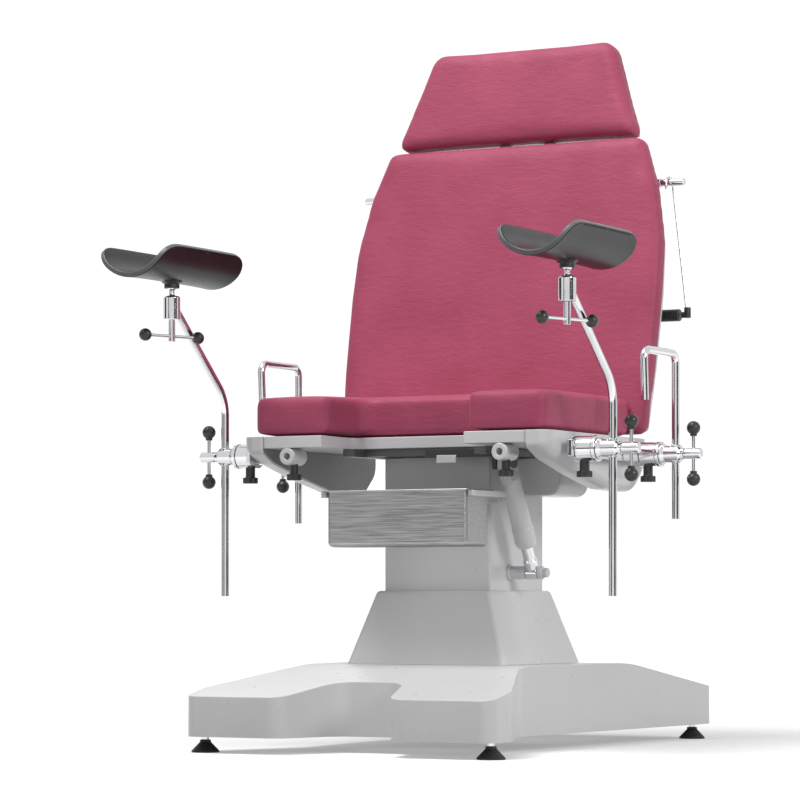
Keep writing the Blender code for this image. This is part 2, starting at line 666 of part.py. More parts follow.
def back_actuator():
    high = back_point(*LINEAR_HIGH)
    direction, _ = actuator_frame(LINEAR_LOW, high)
    eye = rod((-0.012, *LINEAR_LOW), (0.012, *LINEAR_LOW), 0.017, 16)
    sleeve = rod(along(LINEAR_LOW, direction, 0.010, 0), along(LINEAR_LOW, direction, 0.150, 0), 0.016)
    bore = rod(along(LINEAR_LOW, direction, 0.024, 0), along(LINEAR_LOW, direction, 0.16, 0), 0.008 + RUNNING)
    return cut(join(eye, sleeve), bore, rod((-0.03, *LINEAR_LOW), (0.03, *LINEAR_LOW), 0.008 + RUNNING, 16))


def back_actuator_rod():
    high = back_point(*LINEAR_HIGH)
    direction, length = actuator_frame(LINEAR_LOW, high)
    eye = rod((-0.009, *high), (0.009, *high), 0.016, 14)
    bar = rod(along(LINEAR_LOW, direction, 0.100, 0), along(LINEAR_LOW, direction, length - 0.0125, 0), 0.008)
    return cut(join(eye, bar), rod((-0.02, *high), (0.02, *high), 0.005 + LINEAR_PLAY, 14))


# ---- backrest and headrest ----
def back_outline(inset):
    corner = max(0.018, inset + 0.004)
    right = [(0.318, BACK_LOW, corner), (0.325, 0.06, 0.1), (0.327, 0.200, 0.1), (0.3225, 0.300, 0.1),
             (0.3025, 0.400, 0.08), (0.266, BACK_HIGH, corner)]
    return shrunk(rounded(mirrored(right), 3), inset)


def backrest_cushion():
    return lean(prism_z(back_outline(0.0), -BACK_CUSHION, 0.0))


def backrest_shell():
    front, back = BACK_SHELL
    tray = prism_z(back_outline(BACK_INSET), -back, -front)
    pocket = prism_z(back_outline(BACK_INSET + WALL - 0.001), -back + WALL - 0.001, -front + 0.01)
    low = BACK_LOW + BACK_INSET
    arms = block((-0.170, low - 0.01, -back + WALL - 0.001), (0.170, low + 0.02, -front + 0.01))
    high = BACK_HIGH - BACK_INSET
    neck = block((-0.065, high - 0.02, -back + WALL - 0.001), (0.065, high + 0.02, -front + 0.01))
    slot = block((-0.024, LINEAR_HIGH[0] - 0.03, -back - 0.01), (0.024, LINEAR_HIGH[0] + 0.03, -back + 0.02))
    shell = lean(cut(tray, pocket, arms, neck, slot))
    return cut(shell, across(BAR_PLACE, -0.33, 0.33, BAR_R + RUNNING, 12))


def backrest_frame():
    shell_back = BACK_SHELL[1] - WALL + 0.001 - GAP
    low, depth = BACK_PIVOT
    frame = lean(block((-0.150, 0.345, -shell_back + 0.0005), (0.150, 0.372, -shell_back + 0.0065)))
    lower = lean(block((-0.150, LINEAR_HIGH[0] - 0.014, -shell_back + 0.001), (0.150, LINEAR_HIGH[0] + 0.014, -0.056)))
    frame = join(frame, lower)
    inner, outer = BEAM_OUT + 0.0004, BEAM_OUT + 0.0084
    for side in (1, -1):
        bar = lean(block((inner, low, -shell_back), (outer, 0.385, -depth + 0.0115)))
        bar = join(bar, across(BACK_PIVOT, inner - 0.0002, outer + 0.0002, 0.012))
        frame = join(frame, sided(bar, side))
        strip = lean(block((0.036, 0.350, -shell_back + 0.0002), (0.060, HEAD_PIVOT[0], -HEAD_PIVOT[1] + 0.0036)))
        strip = join(strip, across(HEAD_PIVOT, 0.0358, 0.0602, 0.0085))
        frame = join(frame, sided(strip, side))
        ear = lean(block((0.0105, LINEAR_HIGH[0] - 0.011, -LINEAR_HIGH[1]), (0.0165, LINEAR_HIGH[0] + 0.011, -0.060)))
        ear = join(ear, across(LINEAR_HIGH, 0.0103, 0.0167, 0.0108))
        frame = join(frame, sided(ear, side))
    frame = join(frame, across(LINEAR_HIGH, -0.014, 0.014, 0.005))
    pivots = across(BACK_PIVOT, -0.2, 0.2, 0.006 + RUNNING, 16)
    return cut(frame, pivots, across(HEAD_PIVOT, -0.1, 0.1, 0.005 + RUNNING))


def paper_bar():
    flank = 0.2845
    y, z = back_point(*BAR_PLACE)
    right = [(flank, BAR_R), (flank, 0.0085), (flank + 0.010, 0.0085), (flank + 0.010, BAR_R), (BAR_HALF, BAR_R),
             (BAR_HALF, 0.0)]
    left = [(-x, r) for x, r in reversed(right)]
    return turned(left + right, (0, y, z), "X", 12)


def hanger_low():
    """Centre of the roll's axle: straight below the bar, where the bail hangs at rest."""
    y, z = back_point(*BAR_PLACE)
    return (0.0, y, z - HANGER_DROP)


def roll_hanger():
    """Wire bail: hook over the bar, arm, cross wire, arm, hook."""
    y, z = back_point(*BAR_PLACE)
    _, low_y, low_z = hanger_low()
    bend = BAR_R + HANGER_WIRE + 0.007
    centre = z + BAR_R + GAP + HANGER_WIRE - bend
    hook = [(HANGER_TOP_X, y + bend * cos(radians(a)), centre + bend * sin(radians(a))) for a in range(200, -1, -25)]
    half = hook + [(HANGER_LOW_X, low_y, low_z + 0.008), (HANGER_LOW_X - 0.002, low_y, low_z + 0.002),
                   (HANGER_LOW_X - 0.008, low_y, low_z)]
    bail = swept(half + [(-x, b, c) for x, b, c in reversed(half)], HANGER_WIRE, 1)
    for side in (1, -1):
        x = side * (HANGER_LOW_X + 0.002)
        bail = join(bail, rod((x, low_y, low_z - 0.006), (x, low_y, low_z + 0.014), 0.0065, 12))
    return bail


def roll_axle():
    bore = HANGER_WIRE + 0.0003
    outline = [(-AXLE_HALF, bore), (-AXLE_HALF, 0.0115), (AXLE_HALF, 0.0115), (AXLE_HALF, bore)]
    return turned(outline, hanger_low(), "X", 14)


def head_outline(inset):
    right = [(0.257, HEAD_LOW, max(0.016, inset + 0.004)), (0.189, HEAD_HIGH, 0.030)]
    return shrunk(rounded(mirrored(right), 4), inset)


def headrest_cushion():
    return lean(prism_z(head_outline(0.0), -HEAD_CUSHION, 0.0))


def headrest_shell():
    front, back = HEAD_SHELL
    tray = prism_z(head_outline(BACK_INSET), -back, -front)
    pocket = prism_z(head_outline(BACK_INSET + WALL - 0.001), -back + WALL - 0.001, -front + 0.01)
    tray = cut(tray, pocket)
    height, depth = HEAD_PIVOT
    neck = block((-0.0335, height, -depth - 0.0055), (0.0335, HEAD_LOW + BACK_INSET + 0.002, -depth + 0.0055))
    shell = lean(join(tray, neck))
    shell = join(shell, across(HEAD_PIVOT, -0.0345, 0.0345, 0.0085))
    return join(shell, across(HEAD_PIVOT, -0.0620, 0.0620, 0.005))


# ---- leg holders and handrails, made on the right side ----
def rail_jaw(y):
    """The slot that holds the side rail, and the screw's hole."""
    low, high = SIDE_RAIL_Z - SIDE_RAIL_H / 2 - GAP, SIDE_RAIL_Z + SIDE_RAIL_H / 2 + GAP
    slot = block((SIDE_RAIL_IN - 0.01, y - 0.03, low), (SIDE_RAIL_OUT + GAP, y + 0.03, high))
    hole = rod((0.3435, y, 0.500), (0.3435, y, low - 0.001), 0.0088 + RUNNING, 16)
    return slot, hole


def clamp_profile():
    start = SIDE_RAIL_IN + 0.001
    return [(start, 0.0), (start, CLAMP_R), (0.3640, CLAMP_R), (0.3640, CLAMP_R + 0.001), (0.3720, CLAMP_R + 0.001)]


def head_profile(start):
    return [(start, 0.0200), (0.3800, 0.0155), (0.4075, 0.0155), (0.4166, 0.0105), (0.4166, 0.0)]


def leg_clamp():
    return cut(turned(clamp_profile() + [(0.3720, 0.0)], (0, LEG_Y, HOLDER_Z), "X"), *rail_jaw(LEG_Y))


def leg_head():
    start = 0.3720 + GAP
    head = turned([(start, 0.0)] + head_profile(start), (0, LEG_Y, HOLDER_Z), "X")
    hole = rod((HOLDER_X, LEG_Y, HOLDER_Z - 0.03), (HOLDER_X, LEG_Y, HOLDER_Z + 0.03), LEG_ROD_R + RUNNING)
    return cut(head, hole)


def handrail_clamp():
    whole = turned(clamp_profile() + head_profile(0.3722), (0, RAIL_Y, HOLDER_Z), "X")
    hole = rod((HOLDER_X, RAIL_Y, HOLDER_Z - 0.03), (HOLDER_X, RAIL_Y, HOLDER_Z + 0.03), HANDRAIL_R + RUNNING)
    return cut(whole, hole, *rail_jaw(RAIL_Y))


def clamp_screw(y):
    top = SIDE_RAIL_Z - SIDE_RAIL_H / 2 - 2 * GAP - 0.001
    profile = [(0.4885, 0.0), (0.4885, 0.014), (0.4995, 0.014), (0.4995, 0.0088), (top, 0.0088), (top, 0.0)]
    return turned(profile, (0.3435, y, 0), sides=16)


def clamp_handle(y):
    """End cylinder with a T-bar and two ball knobs."""
    start, x = 0.4166 + GAP, 0.434
    handle = turned([(start, 0.0), (start, 0.0098), (0.4505, 0.0098), (0.4505, 0.0)], (0, y, HOLDER_Z), "X", 12)
    reach = 0.0468
    handle = join(handle, rod((x, y, HOLDER_Z - reach), (x, y, HOLDER_Z + reach), 0.0033, 8))
    for end in (-reach, reach):
        handle = join(handle, ball((x, y, HOLDER_Z + end), 0.0125))
    return handle


def bent(corners, radius, steps=6):
    """Polyline through (y, z) corners with the inner corners rounded, at the holder's plane."""
    first, last = corners[0], corners[-1]
    middle = []
    for i in range(1, len(corners) - 1):
        three = [(*corners[i - 1], 0.0), (*corners[i], radius), (*corners[i + 1], 0.0)]
        middle += rounded(three, steps)[1:-1]
    return [(HOLDER_X, y, z) for y, z in [first] + middle + [last]]


def leg_rod():
    path = bent([(LEG_Y, 0.279), (LEG_Y, 0.648), (-0.378, 0.803)], 0.075)
    tube = swept(path, LEG_ROD_R, 2)
    block_piece = rod((HOLDER_X, KNEE_Y, 0.782), (HOLDER_X, KNEE_Y, 0.825), 0.0155)
    neck = rod((HOLDER_X, KNEE_Y, 0.815), (HOLDER_X, KNEE_Y, KNEE_BALL_Z), 0.005, 8)
    return join(tube, block_piece, neck, ball((HOLDER_X, KNEE_Y, KNEE_BALL_Z), KNEE_BALL_R, 12, 8))


def knee_handle(turn):
    """T-handle with its bar turned about Z, clear of the leg rod behind it."""
    low, top, z, reach = 0.742, 0.782 - GAP, 0.752, 0.062
    handle = rod((HOLDER_X, KNEE_Y, low), (HOLDER_X, KNEE_Y, top), 0.0062, 10)
    dx, dy = reach * sin(turn), reach * cos(turn)
    ends = [(HOLDER_X + s * dx, KNEE_Y + s * dy, z) for s in (-1, 1)]
    handle = join(handle, rod(ends[0], ends[1], 0.003, 8))
    return join(handle, *[ball(end, 0.0115) for end in ends])


def knee_support():
    """Trough for the back of the knee, on a ball cup."""
    centre = KNEE_BALL_Z + 0.0075 + TROUGH_R
    arc = [radians(a) for a in range(-170, -9, 20)]
    outer = [(TROUGH_R * cos(a), TROUGH_R * sin(a)) for a in arc]
    inner = [((TROUGH_R - TROUGH_WALL) * cos(a), (TROUGH_R - TROUGH_WALL) * sin(a)) for a in reversed(arc)]
    section = [(HOLDER_X + x, TROUGH_Y[0], centre + z) for x, z in outer + inner]
    trough = prism(section, (0, TROUGH_Y[1] - TROUGH_Y[0], 0))
    cup = rod((HOLDER_X, KNEE_Y, KNEE_BALL_Z - 0.0035), (HOLDER_X, KNEE_Y, centre - TROUGH_R + 0.004), 0.014)
    trough = join(trough, cup)
    return cut(trough, ball((HOLDER_X, KNEE_Y, KNEE_BALL_Z), KNEE_BALL_R + KNEE_PLAY, 12, 8))


def handrail():
    low, top, front = 0.420, 0.722, RAIL_Y - 0.142
    path = bent([(RAIL_Y, low), (RAIL_Y, top), (front, top), (front + 0.006, 0.631)], 0.016, 4)
    return swept(path, HANDRAIL_R, 2)


# ---- assembly ----
def build_base():
    body("root", (0, 0, 0))
    node("base_cover", base_cover(), PAINT, "root")
    node("base_frame", base_frame(), STEEL, "root")
    node("pedestal_cover", pedestal_cover(), PAINT, "root")
    node("column_inner", column_inner(), STEEL, "root")
    node("lift_cylinder", lift_cylinder(), STEEL, "root")
    places = {"front_left": (-1, FOOT_FRONT), "front_right": (1, FOOT_FRONT),
              "rear_left": (-1, FOOT_REAR), "rear_right": (1, FOOT_REAR)}
    for name, (side, (x, y)) in places.items():
        body("foot_" + name, (side * x, y, 0), "root")
        node("foot_" + name, levelling_foot(side * x, y), RUBBER, "foot_" + name)


def build_column():
    body("lift", (0, 0, 0), "root")
    outer = square_tube(COLUMN_HALF, COLUMN_WALL, COLUMN_LOW, COLUMN_TOP)
    node("column_outer", outer, PAINT, "lift")
    node("column_head", column_head(), STEEL, "lift")
    node("tilt_drive_foot", tilt_drive_foot(), PAINT, "lift")
    node("basin_rails", basin_rails(), PAINT, "lift")
    body("basin", (0, BASIN_REAR_Y, RAIL_TOP), "lift")
    node("basin", basin(), STAINLESS, "basin")


def build_seat():
    body("seat", (0, TILT_Y, TILT_Z), "lift")
    node("seat_frame", seat_frame(), STEEL, "seat")
    node("seat_plate", seat_plate(), PAINT, "seat")
    node("seat_cushion", seat_cushion(), LEATHER, "seat")
    node("drive_housing", drive_housing(), PAINT, "seat")
    for name, side in (("right", 1), ("left", -1)):
        node("side_shell_" + name, sided(side_shell(), side), PAINT, "seat")
        node("side_rail_" + name, sided(side_rail(), side), CHROME, "seat")
        node("socket_" + name, sided(accessory_socket(), side), PAINT, "seat")
        body("socket_screw_" + name, (side * SOCKET_X, -0.259, 0.5), "seat")
        node("socket_screw_" + name, sided(socket_screw(), side), RUBBER, "socket_screw_" + name)
    body("tilt_actuator", (DRIVE_X, *DRIVE_HIGH), "seat")
    node("tilt_actuator", tilt_actuator(), PAINT, "tilt_actuator")
    body("tilt_actuator_rod", (DRIVE_X, *DRIVE_LOW), "tilt_actuator")
    node("tilt_actuator_rod", tilt_actuator_rod(), CHROME, "tilt_actuator_rod")


def build_back():
    body("backrest", (0, *back_point(*BACK_PIVOT)), "seat")
    node("backrest_frame", backrest_frame(), STEEL, "backrest")
    node("backrest_shell", backrest_shell(), PAINT, "backrest")
    node("backrest_cushion", backrest_cushion(), LEATHER, "backrest")
    node("paper_bar", paper_bar(), CHROME, "backrest")
    body("back_actuator", (0, *LINEAR_LOW), "seat")
    node("back_actuator", back_actuator(), STEEL, "back_actuator")
    body("back_actuator_rod", (0, *back_point(*LINEAR_HIGH)), "back_actuator")
    node("back_actuator_rod", back_actuator_rod(), CHROME, "back_actuator_rod")
    body("headrest", (0, *back_point(*HEAD_PIVOT)), "backrest")
    node("headrest_shell", headrest_shell(), PAINT, "headrest")
    node("headrest_cushion", headrest_cushion(), LEATHER, "headrest")
    body("roll_hanger", (0, *back_point(*BAR_PLACE)), "backrest")
    node("roll_hanger", roll_hanger(), CHROME, "roll_hanger")
    body("roll_axle", hanger_low(), "roll_hanger")
    node("roll_axle", roll_axle(), RUBBER, "roll_axle")


def build_holder(name, side):
    x = side * HOLDER_X
    body("leg_clamp_" + name, (x, LEG_Y, HOLDER_Z), "seat")
    node("leg_clamp_" + name, sided(leg_clamp(), side), CHROME, "leg_clamp_" + name)
    body("leg_screw_" + name, (side * 0.3435, LEG_Y, 0.5), "leg_clamp_" + name)
    node("leg_screw_" + name, sided(clamp_screw(LEG_Y), side), RUBBER, "leg_screw_" + name)
    body("leg_head_" + name, (x, LEG_Y, HOLDER_Z), "leg_clamp_" + name)
    node("leg_head_" + name, sided(leg_head(), side), CHROME, "leg_head_" + name)
    body("leg_handle_" + name, (x, LEG_Y, HOLDER_Z), "leg_head_" + name)
    node("leg_handle_" + name, sided(clamp_handle(LEG_Y), side), CHROME, "leg_handle_" + name)
    body("leg_rod_" + name, (x, LEG_Y, HOLDER_Z), "leg_head_" + name)
    node("leg_rod_" + name, sided(leg_rod(), side), CHROME, "leg_rod_" + name)
    body("knee_handle_" + name, (x, KNEE_Y, 0.752), "leg_rod_" + name)
    node("knee_handle_" + name, sided(knee_handle(side * radians(18)), side), CHROME, "knee_handle_" + name)
    body("knee_support_" + name, (x, KNEE_Y, KNEE_BALL_Z), "leg_rod_" + name)
    node("knee_support_" + name, sided(knee_support(), side), RUBBER, "knee_support_" + name)


def build_handrail(name, side):
    x = side * HOLDER_X
    body("handrail_clamp_" + name, (x, RAIL_Y, HOLDER_Z), "seat")
    node("handrail_clamp_" + name, sided(handrail_clamp(), side), CHROME, "handrail_clamp_" + name)
    body("handrail_screw_" + name, (side * 0.3435, RAIL_Y, 0.5), "handrail_clamp_" + name)
    node("handrail_screw_" + name, sided(clamp_screw(RAIL_Y), side), RUBBER, "handrail_screw_" + name)
    body("handrail_handle_" + name, (x, RAIL_Y, HOLDER_Z), "handrail_clamp_" + name)
    node("handrail_handle_" + name, sided(clamp_handle(RAIL_Y), side), CHROME, "handrail_handle_" + name)
    body("handrail_" + name, (x, RAIL_Y, HOLDER_Z), "handrail_clamp_" + name)
    node("handrail_" + name, sided(handrail(), side), CHROME, "handrail_" + name)


def main():
    clear_scene()
    build_base()
    build_column()
    build_seat()
    build_back()
    for name, side in (("right", 1), ("left", -1)):
        build_holder(name, side)
        build_handrail(name, side)
    bpy.context.view_layer.update()


main()
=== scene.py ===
"""Gynaecological examination chair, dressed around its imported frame.

Metres, +Z up, the chair's front towards -Y, and the origin on the floor under the lifting column.
"""

from __future__ import annotations

import json
import logging
import math
from dataclasses import dataclass, field
from enum import Enum
from typing import Callable, Iterable, Sequence

import bmesh
import bpy
from mathutils import Matrix, Vector

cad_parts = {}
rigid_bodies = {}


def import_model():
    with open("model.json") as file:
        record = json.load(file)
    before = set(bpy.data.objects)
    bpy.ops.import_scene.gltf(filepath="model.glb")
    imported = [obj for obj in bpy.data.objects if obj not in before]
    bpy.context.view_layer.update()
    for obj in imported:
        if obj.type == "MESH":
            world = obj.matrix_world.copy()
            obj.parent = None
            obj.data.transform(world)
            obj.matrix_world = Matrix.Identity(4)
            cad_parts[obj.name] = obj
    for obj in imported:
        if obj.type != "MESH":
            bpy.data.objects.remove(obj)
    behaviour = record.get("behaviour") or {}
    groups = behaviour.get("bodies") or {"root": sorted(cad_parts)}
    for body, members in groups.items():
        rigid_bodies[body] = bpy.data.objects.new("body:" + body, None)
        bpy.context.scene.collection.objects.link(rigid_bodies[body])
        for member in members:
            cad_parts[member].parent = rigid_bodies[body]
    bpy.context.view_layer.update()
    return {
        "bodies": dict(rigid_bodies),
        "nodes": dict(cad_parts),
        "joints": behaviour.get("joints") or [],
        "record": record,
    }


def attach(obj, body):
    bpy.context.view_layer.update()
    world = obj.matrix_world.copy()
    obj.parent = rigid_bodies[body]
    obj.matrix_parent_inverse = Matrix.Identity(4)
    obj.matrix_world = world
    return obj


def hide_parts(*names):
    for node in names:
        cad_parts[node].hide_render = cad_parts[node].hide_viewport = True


LOG = logging.getLogger("examination_chair")
GAP = 0.0003
RECLINE = 78.7  # degrees from level to the backrest
BACK_ORIGIN = (0.1008, 0.6617)  # Y and Z of the backrest's front face at height 0
CUSHION_INSET = 0.0045  # how much smaller a cushion's plain form is

Point = Sequence[float]
Outline = list[tuple[float, float]]


class Side(Enum):
    """The two sides of the chair, as the sign of X."""

    RIGHT = 1
    LEFT = -1

    @property
    def label(self) -> str:
        """The side's name in piece and body names."""
        return self.name.lower()


class Axis(Enum):
    """The direction a turned piece's centre line runs in."""

    X = "X"
    Y = "Y"
    Z = "Z"

    def turn(self) -> Matrix:
        """The rotation that lays a piece turned about Z along this axis."""
        if self is Axis.X:
            return Matrix.Rotation(math.pi / 2, 4, "Y")
        if self is Axis.Y:
            return Matrix.Rotation(-math.pi / 2, 4, "X")
        return Matrix()


# ---------------------------------------------------------------- finishes
class Graph:
    """A material's node tree with short ways to add what every finish here needs."""

    def __init__(self, name: str) -> None:
        """Start a material.

        Args:
            name: the material's name.
        """
        self.material = bpy.data.materials.new(name)
        self.material.use_nodes = True
        self.nodes = self.material.node_tree.nodes
        self.links = self.material.node_tree.links
        self.shader = self.nodes["Principled BSDF"]
        self.place = self.nodes.new("ShaderNodeTexCoord").outputs["Object"]

    def stretched(self, scale: Point) -> bpy.types.NodeSocket:
        """Object coordinates stretched by scale.

        Args:
            scale: the factor along each axis.

        Returns:
            The vector socket.
        """
        mapping = self.nodes.new("ShaderNodeMapping")
        mapping.inputs["Scale"].default_value = scale
        self.links.new(self.place, mapping.inputs["Vector"])
        return mapping.outputs["Vector"]

    def noise(self, scale: float, detail: float = 3.0,
              vector: bpy.types.NodeSocket | None = None) -> bpy.types.NodeSocket:
        """A noise value.

        Args:
            scale: features per metre.
            detail: octaves.
            vector: where to read it, or None for Object coordinates.

        Returns:
            The value socket.
        """
        node = self.nodes.new("ShaderNodeTexNoise")
        node.inputs["Scale"].default_value = scale
        node.inputs["Detail"].default_value = detail
        self.links.new(vector or self.place, node.inputs["Vector"])
        return node.outputs["Fac"]

    def cells(self, scale: float, smooth: float,
              vector: bpy.types.NodeSocket | None = None) -> bpy.types.NodeSocket:
        """The distance into rounded cells, as leather grain has.

        Args:
            scale: cells per metre.
            smooth: how soft the cell walls are.
            vector: where to read it, or None for Object coordinates.

        Returns:
            The value socket.
        """
        node = self.nodes.new("ShaderNodeTexVoronoi")
        node.feature = "SMOOTH_F1"
        node.inputs["Scale"].default_value = scale
        node.inputs["Smoothness"].default_value = smooth
        self.links.new(vector or self.place, node.inputs["Vector"])
        return node.outputs["Distance"]

    def spread(self, value: bpy.types.NodeSocket, low: float, high: float) -> bpy.types.NodeSocket:
        """Map a 0-1 value to low-high.

        Args:
            value: the value socket.
            low: the result at 0.
            high: the result at 1.

        Returns:
            The mapped socket.
        """
        node = self.nodes.new("ShaderNodeMapRange")
        node.inputs["From Min"].default_value = 0.25
        node.inputs["From Max"].default_value = 0.75
        node.inputs["To Min"].default_value = low
        node.inputs["To Max"].default_value = high
        self.links.new(value, node.inputs["Value"])
        return node.outputs["Result"]

    def tint(self, value: bpy.types.NodeSocket, dark: Point, light: Point) -> None:
        """Colour the shader between two colours by a value.

        Args:
            value: the value socket.
            dark: the colour at low values.
            light: the colour at high values.
        """
        ramp = self.nodes.new("ShaderNodeValToRGB")
        ramp.color_ramp.elements[0].position = 0.3
        ramp.color_ramp.elements[1].position = 0.7
        ramp.color_ramp.elements[0].color = (*dark, 1.0)
        ramp.color_ramp.elements[1].color = (*light, 1.0)
        self.links.new(value, ramp.inputs["Fac"])
        self.links.new(ramp.outputs["Color"], self.shader.inputs["Base Color"])

    def relief(self, layers: Iterable[tuple[bpy.types.NodeSocket, float, float]]) -> None:
        """Raise the surface by stacked layers.

        Args:
            layers: (height socket, strength, distance in metres) for each.
        """
        normal = None
        for height, strength, distance in layers:
            bump = self.nodes.new("ShaderNodeBump")
            bump.inputs["Strength"].default_value = strength
            bump.inputs["Distance"].default_value = distance
            self.links.new(height, bump.inputs["Height"])
            if normal:
                self.links.new(normal, bump.inputs["Normal"])
            normal = bump.outputs["Normal"]
        self.links.new(normal, self.shader.inputs["Normal"])

    def roughness(self, value: bpy.types.NodeSocket, low: float, high: float) -> None:
        """Vary the roughness between low and high by a value."""
        self.links.new(self.spread(value, low, high), self.shader.inputs["Roughness"])


@dataclass(frozen=True)
class Finish:
    """A surface finish: its record slot, its two colours and how rough and metallic it is."""

    name: str
    slot: str
    dark: tuple[float, float, float]
    light: tuple[float, float, float]
    rough: tuple[float, float]
    metal: float = 0.0

    def graph(self) -> Graph:
        """The material with its constant values set."""
        graph = Graph(self.name)
        graph.shader.inputs["Metallic"].default_value = self.metal
        return graph

    def build(self) -> bpy.types.Material:
        """The finished material, made once."""
        found = bpy.data.materials.get(self.name)
        if found:
            return found
        graph = self.graph()
        self.dress(graph)
        return graph.material

    def dress(self, graph: Graph) -> None:
        """Add the finish's own pattern to the graph."""
        graph.tint(graph.noise(7.0, 4.0), self.dark, self.light)
        graph.roughness(graph.noise(60.0), *self.rough)


@dataclass(frozen=True)
class Leatherette(Finish):
    """Synthetic leather with a pebbled grain and faint stretch wrinkles."""

    grain: float = 300.0
    wrinkle: float = 95.0

    def dress(self, graph: Graph) -> None:
        """Pebbled grain, soft wrinkles and slow changes of colour."""
        graph.shader.inputs["Sheen Weight"].default_value = 0.03
        graph.shader.inputs["Specular IOR Level"].default_value = 0.26
        graph.tint(graph.noise(9.0, 5.0), self.dark, self.light)
        drawn = graph.stretched((0.42, 1.0, 1.15))
        pebbles = graph.cells(self.grain, 0.35, drawn)
        folds = graph.noise(self.wrinkle, 5.0, drawn)
        graph.relief([(folds, 0.5, 0.0018), (pebbles, 0.34, 0.0007)])
        graph.roughness(folds, *self.rough)


@dataclass(frozen=True)
class PowderCoat(Finish):
    """Satin paint on sheet metal and castings, with a fine orange peel."""

    peel: float = 650.0

    def dress(self, graph: Graph) -> None:
        """Orange peel and faint cloudiness."""
        graph.shader.inputs["Coat Weight"].default_value = 0.25
        graph.shader.inputs["Coat Roughness"].default_value = 0.25
        graph.tint(graph.noise(5.0, 5.0), self.dark, self.light)
        graph.relief([(graph.noise(self.peel, 2.0), 0.006, 0.0001)])
        graph.roughness(graph.noise(40.0, 6.0), *self.rough)


@dataclass(frozen=True)
class Plating(Finish):
    """Bright chrome plate with hairline wiping marks."""

    marks: float = 900.0

    def dress(self, graph: Graph) -> None:
        """Hairlines in the gloss and a slight ripple of the tube."""
        graph.tint(graph.noise(12.0, 3.0), self.dark, self.light)
        hair = graph.noise(self.marks, 2.0, graph.stretched((1.0, 1.0, 0.06)))
        graph.relief([(graph.noise(30.0, 2.0), 0.04, 0.0006)])
        graph.roughness(hair, *self.rough)


@dataclass(frozen=True)
class BrushedSheet(Finish):
    """Stainless sheet brushed along X."""

    lines: float = 520.0

    def dress(self, graph: Graph) -> None:
        """Long brush lines in colour, gloss and relief."""
        graph.shader.inputs["Anisotropic"].default_value = 0.5
        brushed = graph.stretched((0.03, 1.0, 1.0))
        strokes = graph.noise(self.lines, 6.0, brushed)
        graph.tint(strokes, self.dark, self.light)
        graph.relief([(strokes, 0.16, 0.0003)])
        graph.roughness(strokes, *self.rough)


@dataclass(frozen=True)
class Moulding(Finish):
    """Moulded plastic or skinned foam with a fine spark texture."""

    spark: float = 1100.0
    depth: float = 0.10
    shine: float = 0.5

    def dress(self, graph: Graph) -> None:
        """Spark texture and slightly uneven gloss."""
        graph.shader.inputs["Specular IOR Level"].default_value = self.shine
        graph.tint(graph.noise(14.0, 4.0), self.dark, self.light)
        graph.relief([(graph.noise(self.spark, 2.0), self.depth, 0.0003)])
        graph.roughness(graph.noise(50.0, 5.0), *self.rough)


RASPBERRY = Leatherette("raspberry_leatherette", "raspberry_upholstery", (0.405, 0.066, 0.132),
                        (0.475, 0.084, 0.163),
                        (0.44, 0.60))
WHITE = PowderCoat("white_powder_coat", "white_paint", (0.74, 0.74, 0.75), (0.80, 0.80, 0.81), (0.26, 0.38))
# Painted shade: white paint darkened to grey, for the shade under the seat on the side shells' inner faces.
SHADOW_GREY = PowderCoat("grey_powder_coat", "white_paint", (0.20, 0.20, 0.205), (0.25, 0.25, 0.255),
                         (0.40, 0.52))
DARK_STEEL = PowderCoat("dark_steel_paint", "dark_steel", (0.06, 0.06, 0.065), (0.09, 0.09, 0.095),
                        (0.38, 0.50))
CHROME = Plating("chrome_plate", "chrome", (0.62, 0.62, 0.64), (0.72, 0.72, 0.74), (0.05, 0.14), 1.0)
STAINLESS = BrushedSheet("basin_stainless", "brushed_stainless", (0.20, 0.20, 0.205), (0.42, 0.42, 0.425),
                         (0.26, 0.42), 1.0)
KNOB = Moulding("knob_plastic", "black_plastic", (0.016, 0.016, 0.018), (0.028, 0.028, 0.030), (0.26, 0.38))
SKIN = Moulding("trough_skin", "black_plastic", (0.010, 0.010, 0.011), (0.015, 0.015, 0.016), (0.30, 0.36),
                0.0,
                300.0, 0.01, 0.22)
# Painted highlight: the troughs' cut edges in lighter grey, standing in for the light that catches their
# rims.
RIM_HIGHLIGHT = Moulding("trough_rim", "black_plastic", (0.09, 0.09, 0.094), (0.13, 0.13, 0.135), (0.32, 0.44))
RUBBER = Moulding("foot_rubber", "black_plastic", (0.014, 0.014, 0.015), (0.026, 0.026, 0.027), (0.55, 0.72))


# ---------------------------------------------------------------- outlines
def rounded(corners: Sequence[tuple[float, float, float]], steps: int = 8) -> Outline:
    """Round the corners of an outline.

    Args:
        corners: (x, y, radius) for each corner; a radius of 0 stays sharp.
        steps: the pieces in each arc.

    Returns:
        The outline's points.
    """
    out: Outline = []
    count = len(corners)
    for i, (x, y, radius) in enumerate(corners):
        here = Vector((x, y))
        if radius <= 0:
            out.append((x, y))
            continue
        before = Vector(corners[i - 1][:2]) - here
        after = Vector(corners[(i + 1) % count][:2]) - here
        half = before.angle(after) / 2
        reach = min(radius / math.tan(half), before.length * 0.49, after.length * 0.49)
        size = reach * math.tan(half)
        first, last = here + before.normalized() * reach, here + after.normalized() * reach
        centre = here + (before.normalized() + after.normalized()).normalized() * (size / math.sin(half))
        begin = math.atan2(first.y - centre.y, first.x - centre.x)
        sweep = math.atan2(last.y - centre.y, last.x - centre.x) - begin
        sweep = (sweep + math.pi) % (2 * math.pi) - math.pi
        for k in range(steps + 1):
            angle = begin + sweep * k / steps
            out.append((centre.x + size * math.cos(angle), centre.y + size * math.sin(angle)))
    return out


def mirrored(right: Sequence[tuple[float, float, float]]) -> list[tuple[float, float, float]]:
    """A whole set of corners from its right half, given from front to back."""
    return list(right) + [(-x, y, r) for x, y, r in reversed(right)]


